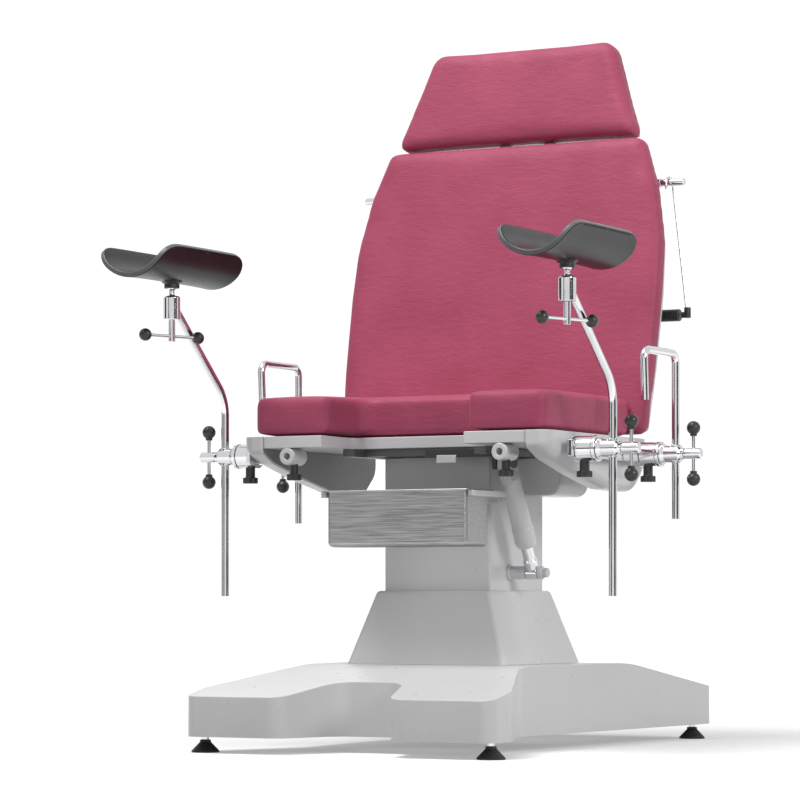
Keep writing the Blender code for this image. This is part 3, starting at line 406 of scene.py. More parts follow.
def shrunk(outline: Outline, amount: float) -> Outline:
    """Offset a counter-clockwise outline inwards.

    Args:
        outline: the points.
        amount: how far, in metres.

    Returns:
        The offset points.
    """
    out: Outline = []
    count = len(outline)
    for i, (x, y) in enumerate(outline):
        before = Vector((x, y)) - Vector(outline[i - 1])
        after = Vector(outline[(i + 1) % count]) - Vector((x, y))
        n1 = Vector((-before.y, before.x)).normalized()
        n2 = Vector((-after.y, after.x)).normalized()
        middle = (n1 + n2).normalized()
        reach = amount / max(middle.dot(n1), 0.3)
        out.append((x + middle.x * reach, y + middle.y * reach))
    return out


def rectangle(half_x: float, half_y: float, radius: float, steps: int = 8) -> Outline:
    """A rounded rectangle about the origin."""
    corners = [(half_x, -half_y, radius), (half_x, half_y, radius), (-half_x, half_y, radius),
               (-half_x, -half_y, radius)]
    return rounded(corners, steps)


# ---------------------------------------------------------------- shaping
class Shaper:
    """A mesh being shaped with bmesh operators, in the chair's frame."""

    def __init__(self) -> None:
        """Start with an empty mesh."""
        self.bm = bmesh.new()

    def _soften(self, edges: Iterable[bmesh.types.BMEdge], width: float, segments: int = 3) -> None:
        """Bevel some edges."""
        bmesh.ops.bevel(self.bm, geom=list(edges), offset=width, offset_type="OFFSET", segments=segments,
                        profile=0.5, affect="EDGES", clamp_overlap=True, material=-1)

    def block(self, low: Point, high: Point, edge: float = 0.0012, segments: int = 3) -> "Shaper":
        """Add a box with softened edges.

        Args:
            low: its lowest corner.
            high: its highest corner.
            edge: the bevel's width.
            segments: the bevel's segments.

        Returns:
            The shaper.
        """
        verts = bmesh.ops.create_cube(self.bm, size=1.0)["verts"]
        size = [b - a for a, b in zip(low, high)]
        middle = [(a + b) / 2 for a, b in zip(low, high)]
        bmesh.ops.transform(self.bm, verts=verts, matrix=Matrix.Translation(middle) @ Matrix.Diagonal((*size,
                                                                                                       1.0)))
        self._soften({e for v in verts for e in v.link_edges}, edge, segments)
        return self

    def rod(self, start: Point, end: Point, radius: float, edge: float = 0.0006, sides: int = 48) -> "Shaper":
        """Add a cylinder with softened rims.

        Args:
            start: the centre of one end.
            end: the centre of the other end.
            radius: its radius.
            edge: the width of the rims' bevel.
            sides: its sides.

        Returns:
            The shaper.
        """
        start, end = Vector(start), Vector(end)
        line = end - start
        verts = bmesh.ops.create_cone(self.bm, cap_ends=True, segments=sides, radius1=radius, radius2=radius,
                                      depth=line.length)["verts"]
        place = Matrix.Translation((start + end) / 2) @ line.to_track_quat("Z", "Y").to_matrix().to_4x4()
        bmesh.ops.transform(self.bm, verts=verts, matrix=place)
        rims = {e for v in verts for e in v.link_edges if any(len(f.verts) > 4 for f in e.link_faces)}
        self._soften(rims, edge, 2)
        return self

    def ball(self, centre: Point, radius: float) -> "Shaper":
        """Add a ball.

        Args:
            centre: its centre.
            radius: its radius.

        Returns:
            The shaper.
        """
        verts = bmesh.ops.create_uvsphere(self.bm, u_segments=36, v_segments=20, radius=radius)["verts"]
        bmesh.ops.translate(self.bm, verts=verts, vec=centre)
        return self

    def lathe(self, profile: Sequence[tuple[float, float, float]], at: Point, axis: Axis = Axis.Z,
              steps: int = 56) -> "Shaper":
        """Turn a closed profile about an axis.

        Args:
            profile: (along, radius, corner radius) for each corner.
            at: a point on the axis.
            axis: the axis's direction.
            steps: the steps round.

        Returns:
            The shaper.
        """
        points = rounded(profile, 3)
        verts = [self.bm.verts.new((radius, 0.0, along)) for along, radius in points]
        edges = [self.bm.edges.new((verts[i], verts[(i + 1) % len(verts)])) for i in range(len(verts))]
        made = bmesh.ops.spin(self.bm, geom=verts + edges, axis=(0, 0, 1), cent=(0, 0, 0), angle=2 * math.pi,
                              steps=steps, use_merge=True)
        turned = {v for v in self.bm.verts if v.is_valid and v in set(verts)}
        turned |= {item for item in made["geom_last"] if isinstance(item,
                                                                    bmesh.types.BMVert) and item.is_valid}
        island = self._island(turned)
        bmesh.ops.transform(self.bm, verts=island, matrix=Matrix.Translation(at) @ axis.turn())
        return self

    @staticmethod
    def _island(seeds: Iterable[bmesh.types.BMVert]) -> list[bmesh.types.BMVert]:
        """Every vertex joined to the seeds."""
        seen, queue = set(), list(seeds)
        while queue:
            vert = queue.pop()
            if vert in seen:
                continue
            seen.add(vert)
            queue.extend(edge.other_vert(vert) for edge in vert.link_edges)
        return list(seen)

    def slab(self, points: Sequence[Point], reach: Point, edge: float = 0.0012,
             segments: int = 3) -> "Shaper":
        """Extrude a flat outline and soften the edges of its two faces.

        Args:
            points: the outline, as 3-D points.
            reach: how far and where to.
            edge: the bevel's width.
            segments: the bevel's segments.

        Returns:
            The shaper.
        """
        face = self.bm.faces.new([self.bm.verts.new(p) for p in points])
        grown = bmesh.ops.extrude_face_region(self.bm, geom=[face])["geom"]
        moved = [item for item in grown if isinstance(item, bmesh.types.BMVert)]
        bmesh.ops.translate(self.bm, verts=moved, vec=reach)
        caps = [face] + [item for item in grown if isinstance(item, bmesh.types.BMFace)]
        if edge > 0:
            self._soften({e for cap in caps if cap.is_valid for e in cap.edges}, edge, segments)
        return self

    def slab_z(self, outline: Outline, z0: float, z1: float, edge: float = 0.0012,
               segments: int = 3) -> "Shaper":
        """Extrude an (x, y) outline from z0 to z1."""
        return self.slab([(x, y, z0) for x, y in outline], (0, 0, z1 - z0), edge, segments)

    def slab_x(self, outline: Outline, x0: float, x1: float, edge: float = 0.0012,
               segments: int = 3) -> "Shaper":
        """Extrude a (y, z) outline from x0 to x1."""
        return self.slab([(x0, y, z) for y, z in outline], (x1 - x0, 0, 0), edge, segments)

    def bar(self, path: Sequence[Point], radius: float, resolution: int = 8) -> "Shaper":
        """Add a round bar along a path.

        Args:
            path: the points it follows.
            radius: its radius.
            resolution: the smoothness of its round.

        Returns:
            The shaper.
        """
        curve = bpy.data.curves.new("bar", "CURVE")
        curve.dimensions = "3D"
        curve.bevel_depth = radius
        curve.bevel_resolution = resolution
        curve.use_fill_caps = True
        spline = curve.splines.new("POLY")
        spline.points.add(len(path) - 1)
        for slot, point in zip(spline.points, path):
            slot.co = (*point, 1.0)
        holder = bpy.data.objects.new("bar", curve)
        bpy.context.scene.collection.objects.link(holder)
        bpy.context.view_layer.update()
        mesh = bpy.data.meshes.new_from_object(holder.evaluated_get(bpy.context.evaluated_depsgraph_get()))
        self.bm.from_mesh(mesh)
        bpy.data.objects.remove(holder, do_unlink=True)
        return self

    def hollow(self, pick: Callable[[bmesh.types.BMFace], float], wall: float, reach: Point) -> "Shaper":
        """Sink a pocket into the face that pick rates highest.

        Args:
            pick: rates a face.
            wall: the width left round the pocket.
            reach: where the pocket's floor goes, from the face.

        Returns:
            The shaper.
        """
        face = max(self.bm.faces, key=pick)
        bmesh.ops.inset_region(self.bm, faces=[face], thickness=wall, use_even_offset=True)
        grown = bmesh.ops.extrude_face_region(self.bm, geom=[face])["geom"]
        bmesh.ops.translate(self.bm, verts=[g for g in grown if isinstance(g, bmesh.types.BMVert)], vec=reach)
        if face.is_valid:
            bmesh.ops.delete(self.bm, geom=[face], context="FACES_ONLY")
        return self

    def loft(self, outlines: Iterable[Sequence[Point]], closed: bool = False,
             capped: bool = False) -> "Shaper":
        """Bridge a row of outlines that have as many points each.

        Args:
            outlines: the outlines, as 3-D points, in order.
            closed: whether the last outline is bridged back to the first.
            capped: whether the first and the last outline are filled.

        Returns:
            The shaper.
        """
        rings = []
        for outline in outlines:
            points = [self.bm.verts.new(point) for point in outline]
            rings.append([self.bm.edges.new((points[i - 1], points[i])) for i in range(len(points))])
        for first, second in zip(rings, rings[1:] + rings[:1] if closed else rings[1:]):
            bmesh.ops.bridge_loops(self.bm, edges=first + second)
        if capped:
            for ring in (rings[0], rings[-1]):
                bmesh.ops.contextual_create(self.bm, geom=ring)
        return self

    def mirror(self, side: Side) -> "Shaper":
        """Move the shape to the left side if that is the side asked for."""
        if side is Side.LEFT:
            bmesh.ops.scale(self.bm, verts=self.bm.verts, vec=(-1, 1, 1))
            bmesh.ops.reverse_faces(self.bm, faces=self.bm.faces)
        return self

    def place(self, matrix: Matrix) -> "Shaper":
        """Move the shape by a matrix."""
        bmesh.ops.transform(self.bm, verts=self.bm.verts, matrix=matrix)
        return self

    def made(self, name: str) -> bpy.types.Object:
        """Close the shape and make it an object at the origin.

        Args:
            name: the object's name.

        Returns:
            The object.
        """
        bmesh.ops.remove_doubles(self.bm, verts=self.bm.verts, dist=1e-6)
        bmesh.ops.dissolve_degenerate(self.bm, edges=self.bm.edges, dist=1e-7)
        bmesh.ops.recalc_face_normals(self.bm, faces=self.bm.faces)
        mesh = bpy.data.meshes.new(name)
        self.bm.to_mesh(mesh)
        self.bm.free()
        item = bpy.data.objects.new(name, mesh)
        bpy.context.scene.collection.objects.link(item)
        return item


@dataclass
class Workshop:
    """Finishes pieces and hands them to the frame."""

    count: int = 0

    def hand_over(self, item: bpy.types.Object, finish: Finish, body: str, *nodes: str,
                  angle: float = 32.0, weighted: bool = True) -> bpy.types.Object:
        """Shade a piece, give it its finish and let it ride.

        Args:
            item: the piece.
            finish: its finish.
            body: the CAD body it moves with.
            nodes: the CAD nodes it stands for.
            angle: the angle past which an edge stays sharp, in degrees.
            weighted: whether large faces rule the shading.

        Returns:
            The piece.
        """
        item.data.materials.append(finish.build())
        item.data.shade_smooth()
        item.data.set_sharp_from_angle(angle=math.radians(angle))
        if weighted:
            flat = item.modifiers.new("flat_faces", "WEIGHTED_NORMAL")
            flat.keep_sharp = True
        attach(item, body)
        if nodes:
            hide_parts(*nodes)
        self.count += 1
        LOG.info("%s rides on %s", item.name, body)
        return item

    def repaint(self, frame: dict, finish: Finish, *nodes: str) -> None:
        """Give CAD nodes that stay a finish.

        Args:
            finish: the finish.
            nodes: the nodes' names.
        """
        for name in nodes:
            node = frame["nodes"][name]
            node.data.materials.clear()
            node.data.materials.append(finish.build())
            LOG.info("%s keeps its CAD shape", name)


# ---------------------------------------------------------------- upholstery
@dataclass
class Upholstery:
    """Swells a cushion's plain form with a cloth simulation, then stretches it to fill its box."""

    voxel: float = 0.006
    pressure: float = 4.0
    most: float = 0.006
    frames: int = 20

    def swell(self, form: bpy.types.Object, low: Point, high: Point) -> bpy.types.Object:
        """Turn a closed form into a stuffed cushion.

        Args:
            form: the closed form, a little smaller than the cushion.
            low: the cushion's lowest corner.
            high: the cushion's highest corner.

        Returns:
            The cushion, with nothing live on it.
        """
        self._applied(form, "REMESH", mode="VOXEL", voxel_size=self.voxel)
        self._simulate(form)
        self._smooth(form, 4)
        self._applied(form, "SUBSURF", levels=1, render_levels=1)
        self._fit(form, low, high)
        return form

    @staticmethod
    def _fit(item: bpy.types.Object, low: Point, high: Point) -> None:
        """Stretch the cushion a little so that it fills its box."""
        verts = item.data.vertices
        least = [min(v.co[i] for v in verts) for i in range(3)]
        most = [max(v.co[i] for v in verts) for i in range(3)]
        for vert in verts:
            vert.co = [low[i] + (vert.co[i] - least[i]) * (high[i] - low[i]) / (most[i] - least[i])
                       for i in range(3)]

    @staticmethod
    def _applied(item: bpy.types.Object, kind: str, **settings: object) -> None:
        """Add a modifier and keep its result."""
        step = item.modifiers.new(kind.lower(), kind)
        for key, value in settings.items():
            setattr(step, key, value)
        bpy.context.view_layer.update()
        mesh = bpy.data.meshes.new_from_object(item.evaluated_get(bpy.context.evaluated_depsgraph_get()))
        item.modifiers.clear()
        item.data = mesh

    @staticmethod
    def _smooth(item: bpy.types.Object, rounds: int) -> None:
        """Relax the voxel steps."""
        bm = bmesh.new()
        bm.from_mesh(item.data)
        for _ in range(rounds):
            bmesh.ops.smooth_vert(bm, verts=bm.verts, factor=0.5, use_axis_x=True, use_axis_y=True,
                                  use_axis_z=True)
        bm.to_mesh(item.data)
        bm.free()

    def _simulate(self, item: bpy.types.Object) -> None:
        """Run the cloth and keep each point's move within the cap."""
        cloth = item.modifiers.new("cloth", "CLOTH")
        cloth.settings.use_pressure = True
        cloth.settings.uniform_pressure_force = self.pressure
        cloth.settings.effector_weights.gravity = 0.0
        cloth.settings.quality = 4
        cloth.settings.tension_stiffness = 20.0
        cloth.settings.compression_stiffness = 20.0
        cloth.settings.bending_stiffness = 2.0
        cloth.collision_settings.use_collision = False
        scene = bpy.context.scene
        for frame in range(1, self.frames + 1):
            scene.frame_set(frame)
        swollen = item.evaluated_get(bpy.context.evaluated_depsgraph_get())
        moved = [v.co.copy() for v in swollen.data.vertices]
        item.modifiers.clear()
        for vert, target in zip(item.data.vertices, moved):
            step = target - vert.co
            if step.length > self.most:
                step *= self.most / step.length
            vert.co += step
        scene.frame_set(1)


# ---------------------------------------------------------------- base and column
@dataclass
class Base:
    """The floor-standing base: its painted cover, the pedestal and four levelling feet."""

    bottom: float = 0.029
    top: float = 0.154
    front_top: float = 0.101
    rear_top: float = 0.100
    front_y: float = -0.496
    rear_y: float = 0.530
    plateau: tuple[float, float] = (-0.215, 0.178)
    edge: float = 0.011
    feet: dict[str, tuple[float, float]] = field(default_factory=lambda: {
        "front_left": (-0.286, -0.4545), "front_right": (0.286, -0.4545),
        "rear_left": (-0.249, 0.490), "rear_right": (0.249, 0.490)})

    def outline(self) -> Outline:
        """The cover's plan."""
        right = [(0.068, -0.360, 0.045), (0.108, self.front_y, 0.040), (0.3075, self.front_y, 0.025),
                 (0.3075, self.front_y + 0.075, 0.05), (0.227, -0.23, 0.08), (0.239, -0.06, 0.2),
                 (0.2815, self.rear_y, 0.03)]
        return rounded(mirrored(right), 8)

    def height(self, y: float) -> float:
        """The height of the cover's top at y."""
        front, rear = self.plateau
        if y < front:
            return self.top - (self.top - self.front_top) * (front - y) / (front - self.front_y)
        if y > rear:
            return self.top - (self.top - self.rear_top) * (y - rear) / (self.rear_y - rear)
        return self.top

    def cover(self) -> bpy.types.Object:
        """The cover, open below, with rounded top edges."""
        shape = Shaper()
        bm = shape.bm
        face = bm.faces.new([bm.verts.new((x, y, self.bottom)) for x, y in self.outline()])
        grown = bmesh.ops.extrude_face_region(bm, geom=[face])["geom"]
        bmesh.ops.translate(bm, verts=[g for g in grown if isinstance(g, bmesh.types.BMVert)],
                            vec=(0, 0, 0.05))
        for share in range(9):
            for y in self.plateau:
                at = y + (share - 4) * 0.011
                geom = bm.verts[:] + bm.edges[:] + bm.faces[:]
                bmesh.ops.bisect_plane(bm, geom=geom, plane_co=(0, at, 0), plane_no=(0, 1, 0), dist=1e-6)
        for vert in bm.verts:
            if vert.co.z > self.bottom + 0.01:
                reach = [self.height(vert.co.y + step * 0.006) for step in range(-7, 8)]
                near = min(abs(vert.co.y - y) for y in self.plateau) < 0.06
                vert.co.z = sum(reach) / len(reach) if near else self.height(vert.co.y)
        floor = [f for f in bm.faces if all(v.co.z < self.bottom + 1e-5 for v in f.verts)]
        bmesh.ops.delete(bm, geom=floor, context="FACES_ONLY")
        bmesh.ops.recalc_face_normals(bm, faces=bm.faces)
        rim = [e for e in bm.edges if len(e.link_faces) == 2 and e.calc_face_angle(0.0) > math.radians(60)
               and min(v.co.z for v in e.verts) > self.bottom + 0.02]
        shape._soften(rim, self.edge, 6)
        item = shape.made("base_cover_skin")
        wall = item.modifiers.new("wall", "SOLIDIFY")
        wall.thickness = 0.005
        wall.offset = -1.0
        return item

    def pedestal(self) -> bpy.types.Object:
        """The tapered cover round the column's foot."""
        low, hole = self.top + GAP, (0.1110, 0.1110, 0.0055)
        stages = [(0.1650, 0.1600, 0.0120, low), (0.1224, 0.1294, 0.0102, 0.2790),
                  (0.1212, 0.1285, 0.0100, 0.2828),
                  (0.1195, 0.1270, 0.0092, 0.2860), (0.1168, 0.1245, 0.0080, 0.2882),
                  (0.1140, 0.1215, 0.0068, 0.2890),
                  (*hole, 0.2890), (*hole, 0.2800)]
        outlines = [[(x, y, z) for x, y in rectangle(half_x, half_y, radius, 10)]
                    for half_x, half_y, radius, z in stages]
        return Shaper().loft(outlines).made("pedestal_skin")

    def foot(self, name: str, shop: Workshop) -> None:
        """One levelling foot: rubber pad, plated hexagon nut and stem."""
        x, y = self.feet[name]
        pad = Shaper().lathe([(0.0, 0.0, 0), (0.0, 0.0250, 0.0008), (0.0030, 0.0250, 0.0012),
                              (0.0185, 0.0098, 0.001),
                              (0.0225, 0.0098, 0.0006), (0.0225, 0.0, 0)], (x, y, 0))
        shop.hand_over(pad.made("foot_pad_" + name), RUBBER, "foot_" + name, "foot_" + name)
        nut = Shaper().rod((x, y, 0.0226), (x, y, 0.0285), 0.0064, 0.0006, 6)
        nut.rod((x, y, 0.0285), (x, y, 0.0535), 0.0048, 0.0004, 24)
        shop.hand_over(nut.made("foot_nut_" + name), CHROME, "foot_" + name, angle=20)

    def build(self, shop: Workshop, frame: dict) -> None:
        """Make and hand over the whole base."""
        shop.hand_over(self.cover(), WHITE, "root", "base_cover")
        shop.hand_over(self.pedestal(), WHITE, "root", "pedestal_cover")
        for name in self.feet:
            self.foot(name, shop)
        shop.repaint(frame, DARK_STEEL, "base_frame", "column_inner", "lift_cylinder", "column_head")


@dataclass
class Column:
    """The lifting column's outer tube, the basin and its rails, and the tilt actuator's foot."""

    half: float = 0.110
    low: float = 0.045
    high: float = 0.534
    wall: float = 0.006
    drive: tuple[float, float, float] = (0.158, -0.031, 0.322)
    rail_top: float = 0.468

    def tube(self) -> bpy.types.Object:
        """The square outer tube."""
        outer, inner = (self.half, 0.005), (self.half - self.wall, 0.004)
        stages = [(outer, self.low), (outer, self.high - 0.0008), ((self.half - 0.0008, 0.0045), self.high),
                  (inner, self.high), (inner, self.low)]
        outlines = [[(x, y, z) for x, y in rectangle(half, half, radius, 8)] for (half, radius), z in stages]
        return Shaper().loft(outlines, closed=True).made("column_tube")

    def foot(self) -> bpy.types.Object:
        """The boss that the tilt actuator pushes against."""
        x, y, z = self.drive
        start = self.half + GAP
        profile = [(start, 0.0, 0), (start, 0.0145, 0.0005), (start + 0.004, 0.0145, 0.0008),
                   (start + 0.005, 0.0120, 0),
                   (x - 0.0118, 0.0120, 0.0008), (x - 0.0118, 0.0045, 0), (x + 0.0118, 0.0045, 0),
                   (x + 0.0118, 0.0120, 0.0008), (x + 0.0205, 0.0120, 0.0012), (x + 0.0205, 0.0085, 0.0002),
                   (x + 0.0312, 0.0085, 0.0020), (x + 0.0312, 0.0, 0)]
        return Shaper().lathe(profile, (0, y, z), Axis.X).made("tilt_drive_boss")

    def rails(self) -> bpy.types.Object:
        """The two bars that carry the basin, and their bracket on the column."""
        inner, back = 0.145, -self.half - GAP
        low = self.rail_top - 0.0105
        shape = Shaper().block((-0.095, back - 0.008, 0.390), (0.095, back, self.rail_top - 0.001), 0.0015)
        shape.block((-0.135, back - 0.0155, 0.448), (0.135, back - 0.001, self.rail_top), 0.0015)
        for sign in (1, -1):
            spans = (((0.110, back - 0.034, low + 0.0002),
                      (inner + 0.002, back - 0.0245, self.rail_top - 0.0004)),
                     ((0.112, back - 0.026, low + 0.0004), (0.133, back - 0.014, self.rail_top - 0.0006)),
                     ((inner, -0.268, low), (inner + 0.0105, back - 0.0243, self.rail_top - 0.0002)))
            for (x0, y0, z0), (x1, y1, z1) in spans:
                a, b = sorted((sign * x0, sign * x1))
                shape.block((a, y0, z0), (b, y1, z1), 0.0010)
        return shape.made("basin_rail_set")

    def basin(self) -> bpy.types.Object:
        """The pressed steel basin with its turned-out flange."""
        half, front, rear, low, rim = 0.143, -0.268, -0.182, 0.3675, self.rail_top + GAP
        middle, deep = (front + rear) / 2, (rear - front) / 2
        stages = ((-0.0090, 0.004, low), (-0.0045, 0.006, low + 0.0010), (-0.0015, 0.0075, low + 0.0035),
                  (0.0, 0.008, low + 0.0080), (0.0, 0.008, rim - 0.002), (0.0012, 0.0085, rim),
                  (0.0095, 0.0115, rim), (0.0100, 0.012, rim + 0.0008), (0.0095, 0.0115, rim + 0.0015),
                  (0.0010, 0.008, rim + 0.0015), (-0.0015, 0.0065, rim), (-0.0020, 0.006, rim - 0.003),
                  (-0.0020, 0.006, low + 0.010), (-0.0040, 0.005, low + 0.0045),
                  (-0.0095, 0.003, low + 0.0022))
        outlines = [[(x, y + middle, z) for x, y in rectangle(half + grow, deep + grow, radius, 8)]
                    for grow, radius, z in stages]
        return Shaper().loft(outlines, capped=True).made("basin_pan")

    def build(self, shop: Workshop) -> None:
        """Make and hand over the column's pieces."""
        shop.hand_over(self.tube(), WHITE, "lift", "column_outer")
        shop.hand_over(self.foot(), WHITE, "lift", "tilt_drive_foot")
        shop.hand_over(self.rails(), WHITE, "lift", "basin_rails")
        shop.hand_over(self.basin(), STAINLESS, "basin", "basin")


# ---------------------------------------------------------------- seat
@dataclass
class Seat:
    """The seat's cushion, plate, side shells, rails, sockets and drive."""

    plate_z: tuple[float, float] = (0.549, 0.5707)
    cushion_top: float = 0.648
    cushion_half: float = 0.300
    front: float = -0.274
    notch_half: float = 0.142
    notch_y: float = -0.167
    socket_x: float = 0.2166
    socket_r: float = 0.0152
    rail: tuple[float, float, float] = (0.3253, 0.3333, 0.540)

    def plate(self) -> bpy.types.Object:
        """The painted plate under the cushion, with its notch and its rear opening."""
        right = [(self.notch_half + 0.003, self.notch_y + 0.004, 0.02),
                 (self.notch_half + 0.003, -0.285, 0.002),
                 (0.268, -0.285, 0.006), (0.268, 0.078, 0.006), (0.152, 0.078, 0.004), (0.152, -0.115, 0.006)]
        return Shaper().slab_z(rounded(mirrored(right), 6), *self.plate_z, 0.0016, 3).made("seat_plate_skin")

    def cushion(self, upholstery: Upholstery) -> bpy.types.Object:
        """The notched seat cushion, whose rear face lies against the backrest."""
        inset = CUSHION_INSET
        right = [(self.notch_half - 0.018, self.notch_y + inset, 0.034),
                 (self.notch_half + inset, self.front + inset, 0.014),
                 (self.cushion_half - inset, self.front + inset, 0.020),
                 (self.cushion_half - inset, 0.0, 0.0)]
        low, high = self.plate_z[1] + 0.0035, self.cushion_top - inset
        shape = Shaper()
        shape.slab_z(rounded(mirrored(right), 10), low, high, 0.0, 1)
        back_y, back_z = BACK_ORIGIN[0] - 0.003, BACK_ORIGIN[1]
        slope = 1.0 / math.tan(math.radians(RECLINE))
        for vert in shape.bm.verts:
            if vert.co.y > -0.001:
                vert.co.y = back_y - inset + (vert.co.z - back_z) * slope
        top = {e for f in shape.bm.faces if f.normal.z > 0.9 or min(v.co.z for v in f.verts) > high - 1e-5
               for e in f.edges}
        upright = {e for e in shape.bm.edges if abs(e.verts[0].co.z - e.verts[1].co.z) > 0.01
                   and min(v.co.y for v in e.verts) > 0.05}
        shape._soften(top | upright, 0.010, 5)
        half, rear = self.cushion_half, back_y + (self.cushion_top - back_z) * slope
        return upholstery.swell(shape.made("seat_pad"), (-half, self.front, self.plate_z[1] + GAP),
                                (half, rear, self.cushion_top))

    def shell_contour(self, inset: float) -> Outline:
        """The side shell's side view, drawn in from its ends and its lower edge."""
        front, rear, top = -0.287 + inset, 0.1435 - inset, self.plate_z[1]
        corners = [(front, top, 0.001), (front, 0.540 + inset, 0.012), (-0.245, 0.522 + inset, 0.05),
                   (-0.150, 0.499 + inset, 0.08), (-0.020, 0.474 + inset, 0.06),
                   (0.095 - inset / 2, 0.4715 + inset, 0.035),
                   (rear, 0.515 + inset / 2, 0.05), (rear, top, 0.001)]
        return rounded(corners, 8)

    def shell(self, side: Side) -> bpy.types.Object:
        """The scoop-shaped cover under one edge of the seat."""
        inner, outer, nose = 0.268 + GAP, 0.312, 0.024
        turns = [math.radians(a) for a in range(0, 91, 15)]
        stages = [(inner, 0.0015), (inner + 0.0015, 0.0)]
        stages += [(outer - nose + nose * math.sin(a), nose * (1 - math.cos(a))) for a in turns]
        outlines = [[(x, y, z) for y, z in self.shell_contour(inset)] for x, inset in stages]
        shape = Shaper().loft(outlines, capped=True)
        return shape.mirror(side).made("side_shell_skin_" + side.label)

    def flank(self, side: Side) -> bpy.types.Object:
        """A thin grey sheet on the side shell's inner face towards the column: painted shade on the white
        shell.
        """
        contour = [(-0.283, 0.5485, 0.001), (-0.283, 0.5425, 0.008), (-0.243, 0.5250, 0.05),
                   (-0.149, 0.502, 0.08),
                   (-0.020, 0.477, 0.06), (0.093, 0.4745, 0.03), (0.1405, 0.516, 0.045),
                   (0.1405, 0.5485, 0.001)]
        shape = Shaper().slab_x(rounded(contour, 8), 0.2662, 0.2684, 0.0006, 2)
        return shape.mirror(side).made("side_shell_flank_" + side.label)

    def side_rail(self, side: Side) -> bpy.types.Object:
        """The flat accessory rail on its three standoffs."""
        inner, outer, z = self.rail
        shape = Shaper().block((inner, -0.235, z - 0.015), (outer, 0.130, z + 0.015), 0.0012)
        for y in (-0.120, -0.070, 0.120):
            shape.rod((0.312 + GAP, y, z), (inner + 0.001, y, z), 0.0092, 0.0006, 32)
            shape.rod((outer - 0.0005, y, z), (outer + 0.0014, y, z), 0.0052, 0.0007, 24)
        return shape.mirror(side).made("accessory_rail_" + side.label)

    def socket(self, side: Side) -> bpy.types.Object:
        """The tube that takes an accessory's rod."""
        z, bore = self.plate_z[0] - GAP - self.socket_r, 0.0065
        profile = [(-0.287, bore, 0.0012), (-0.287, self.socket_r, 0.0020), (-0.237, self.socket_r, 0.0010),
                   (-0.237, bore, 0.0006)]
        return Shaper().lathe(profile, (self.socket_x, 0, z), Axis.Y,
                              64).mirror(side).made("socket_tube_" + side.label)

    def drive(self) -> bpy.types.Object:
        """The rounded housing of the tilt drive, right of the column."""
        low, high = 0.4635, 0.5342
        outline = rounded([(0.1175, low, 0.018), (0.206, low, 0.022), (0.206, high, 0.006),
                           (0.1175, high, 0.004)], 8)
        return Shaper().slab([(x, -0.019, z) for x, z in outline], (0, 0.124, 0), 0.004, 4).made("drive_box")

    def latch(self) -> bpy.types.Object:
        """The small light tab under the front of the seat."""
        return Shaper().block((0.030, -0.1690, 0.5205), (0.070, -0.1652, 0.5350),
                              0.0010).made("seat_latch_tab")

    def latch_bar(self) -> bpy.types.Object:
        """The dark bar that carries the tab."""
        return Shaper().block((0.005, -0.1655, 0.5310), (0.140, -0.1602, 0.5460),
                              0.0008).made("seat_latch_bar")

    def build(self, shop: Workshop, frame: dict, upholstery: Upholstery) -> None:
        """Make and hand over the seat."""
        shop.hand_over(self.plate(), WHITE, "seat", "seat_plate")
        pad = shop.hand_over(self.cushion(upholstery), RASPBERRY, "seat", "seat_cushion", angle=80,
                             weighted=False)
        shop.hand_over(self.drive(), WHITE, "seat", "drive_housing")
        shop.hand_over(self.latch(), WHITE, "seat")
        shop.hand_over(self.latch_bar(), KNOB, "seat")
        shop.repaint(frame, DARK_STEEL, "seat_frame")
        for side in Side:
            shop.hand_over(self.shell(side), WHITE, "seat", "side_shell_" + side.label)
            # the thin grey sheet on the shell's inner face is painted shade
            shop.hand_over(self.flank(side), SHADOW_GREY, "seat")
            shop.hand_over(self.side_rail(side), CHROME, "seat", "side_rail_" + side.label)
            shop.hand_over(self.socket(side), WHITE, "seat", "socket_" + side.label)
            screw = thumbscrew("socket_knob_" + side.label, side.value * self.socket_x, -0.259,
                               Screw(0.4905, 0.502, 0.0135, 0.0075, 0.5235))
            name = "socket_screw_" + side.label
            shop.hand_over(screw, KNOB, name, name)


@dataclass(frozen=True)
class Screw:
    """A thumbscrew's sizes: head from bottom to shoulder, then the stem up to its top."""

    bottom: float
    shoulder: float
    head_r: float
    stem_r: float
    top: float


def thumbscrew(name: str, x: float, y: float, size: Screw) -> bpy.types.Object:
    """A hanging thumbscrew with a fluted head.

    Args:
        name: the object's name.
        x: where its centre line stands.
        y: where its centre line stands.
        size: its sizes.

    Returns:
        The object.
    """
    flutes = 12
    points: Outline = []
    for k in range(flutes * 6):
        angle = 2 * math.pi * k / (flutes * 6)
        radius = size.head_r - 0.0007 * (1 - math.cos(angle * flutes)) * 0.9
        points.append((x + radius * math.cos(angle), y + radius * math.sin(angle)))
    shape = Shaper().slab_z(points, size.bottom, size.shoulder, 0.0011, 3)
    shape.lathe([(size.shoulder - 0.001, 0.0, 0), (size.shoulder - 0.001, size.stem_r + 0.0016, 0),
                 (size.shoulder + 0.0020, size.stem_r, 0.001), (size.top, size.stem_r, 0.0006),
                 (size.top, 0.0, 0)],
                (x, y, 0), Axis.Z, 40)
    return shape.made(name)


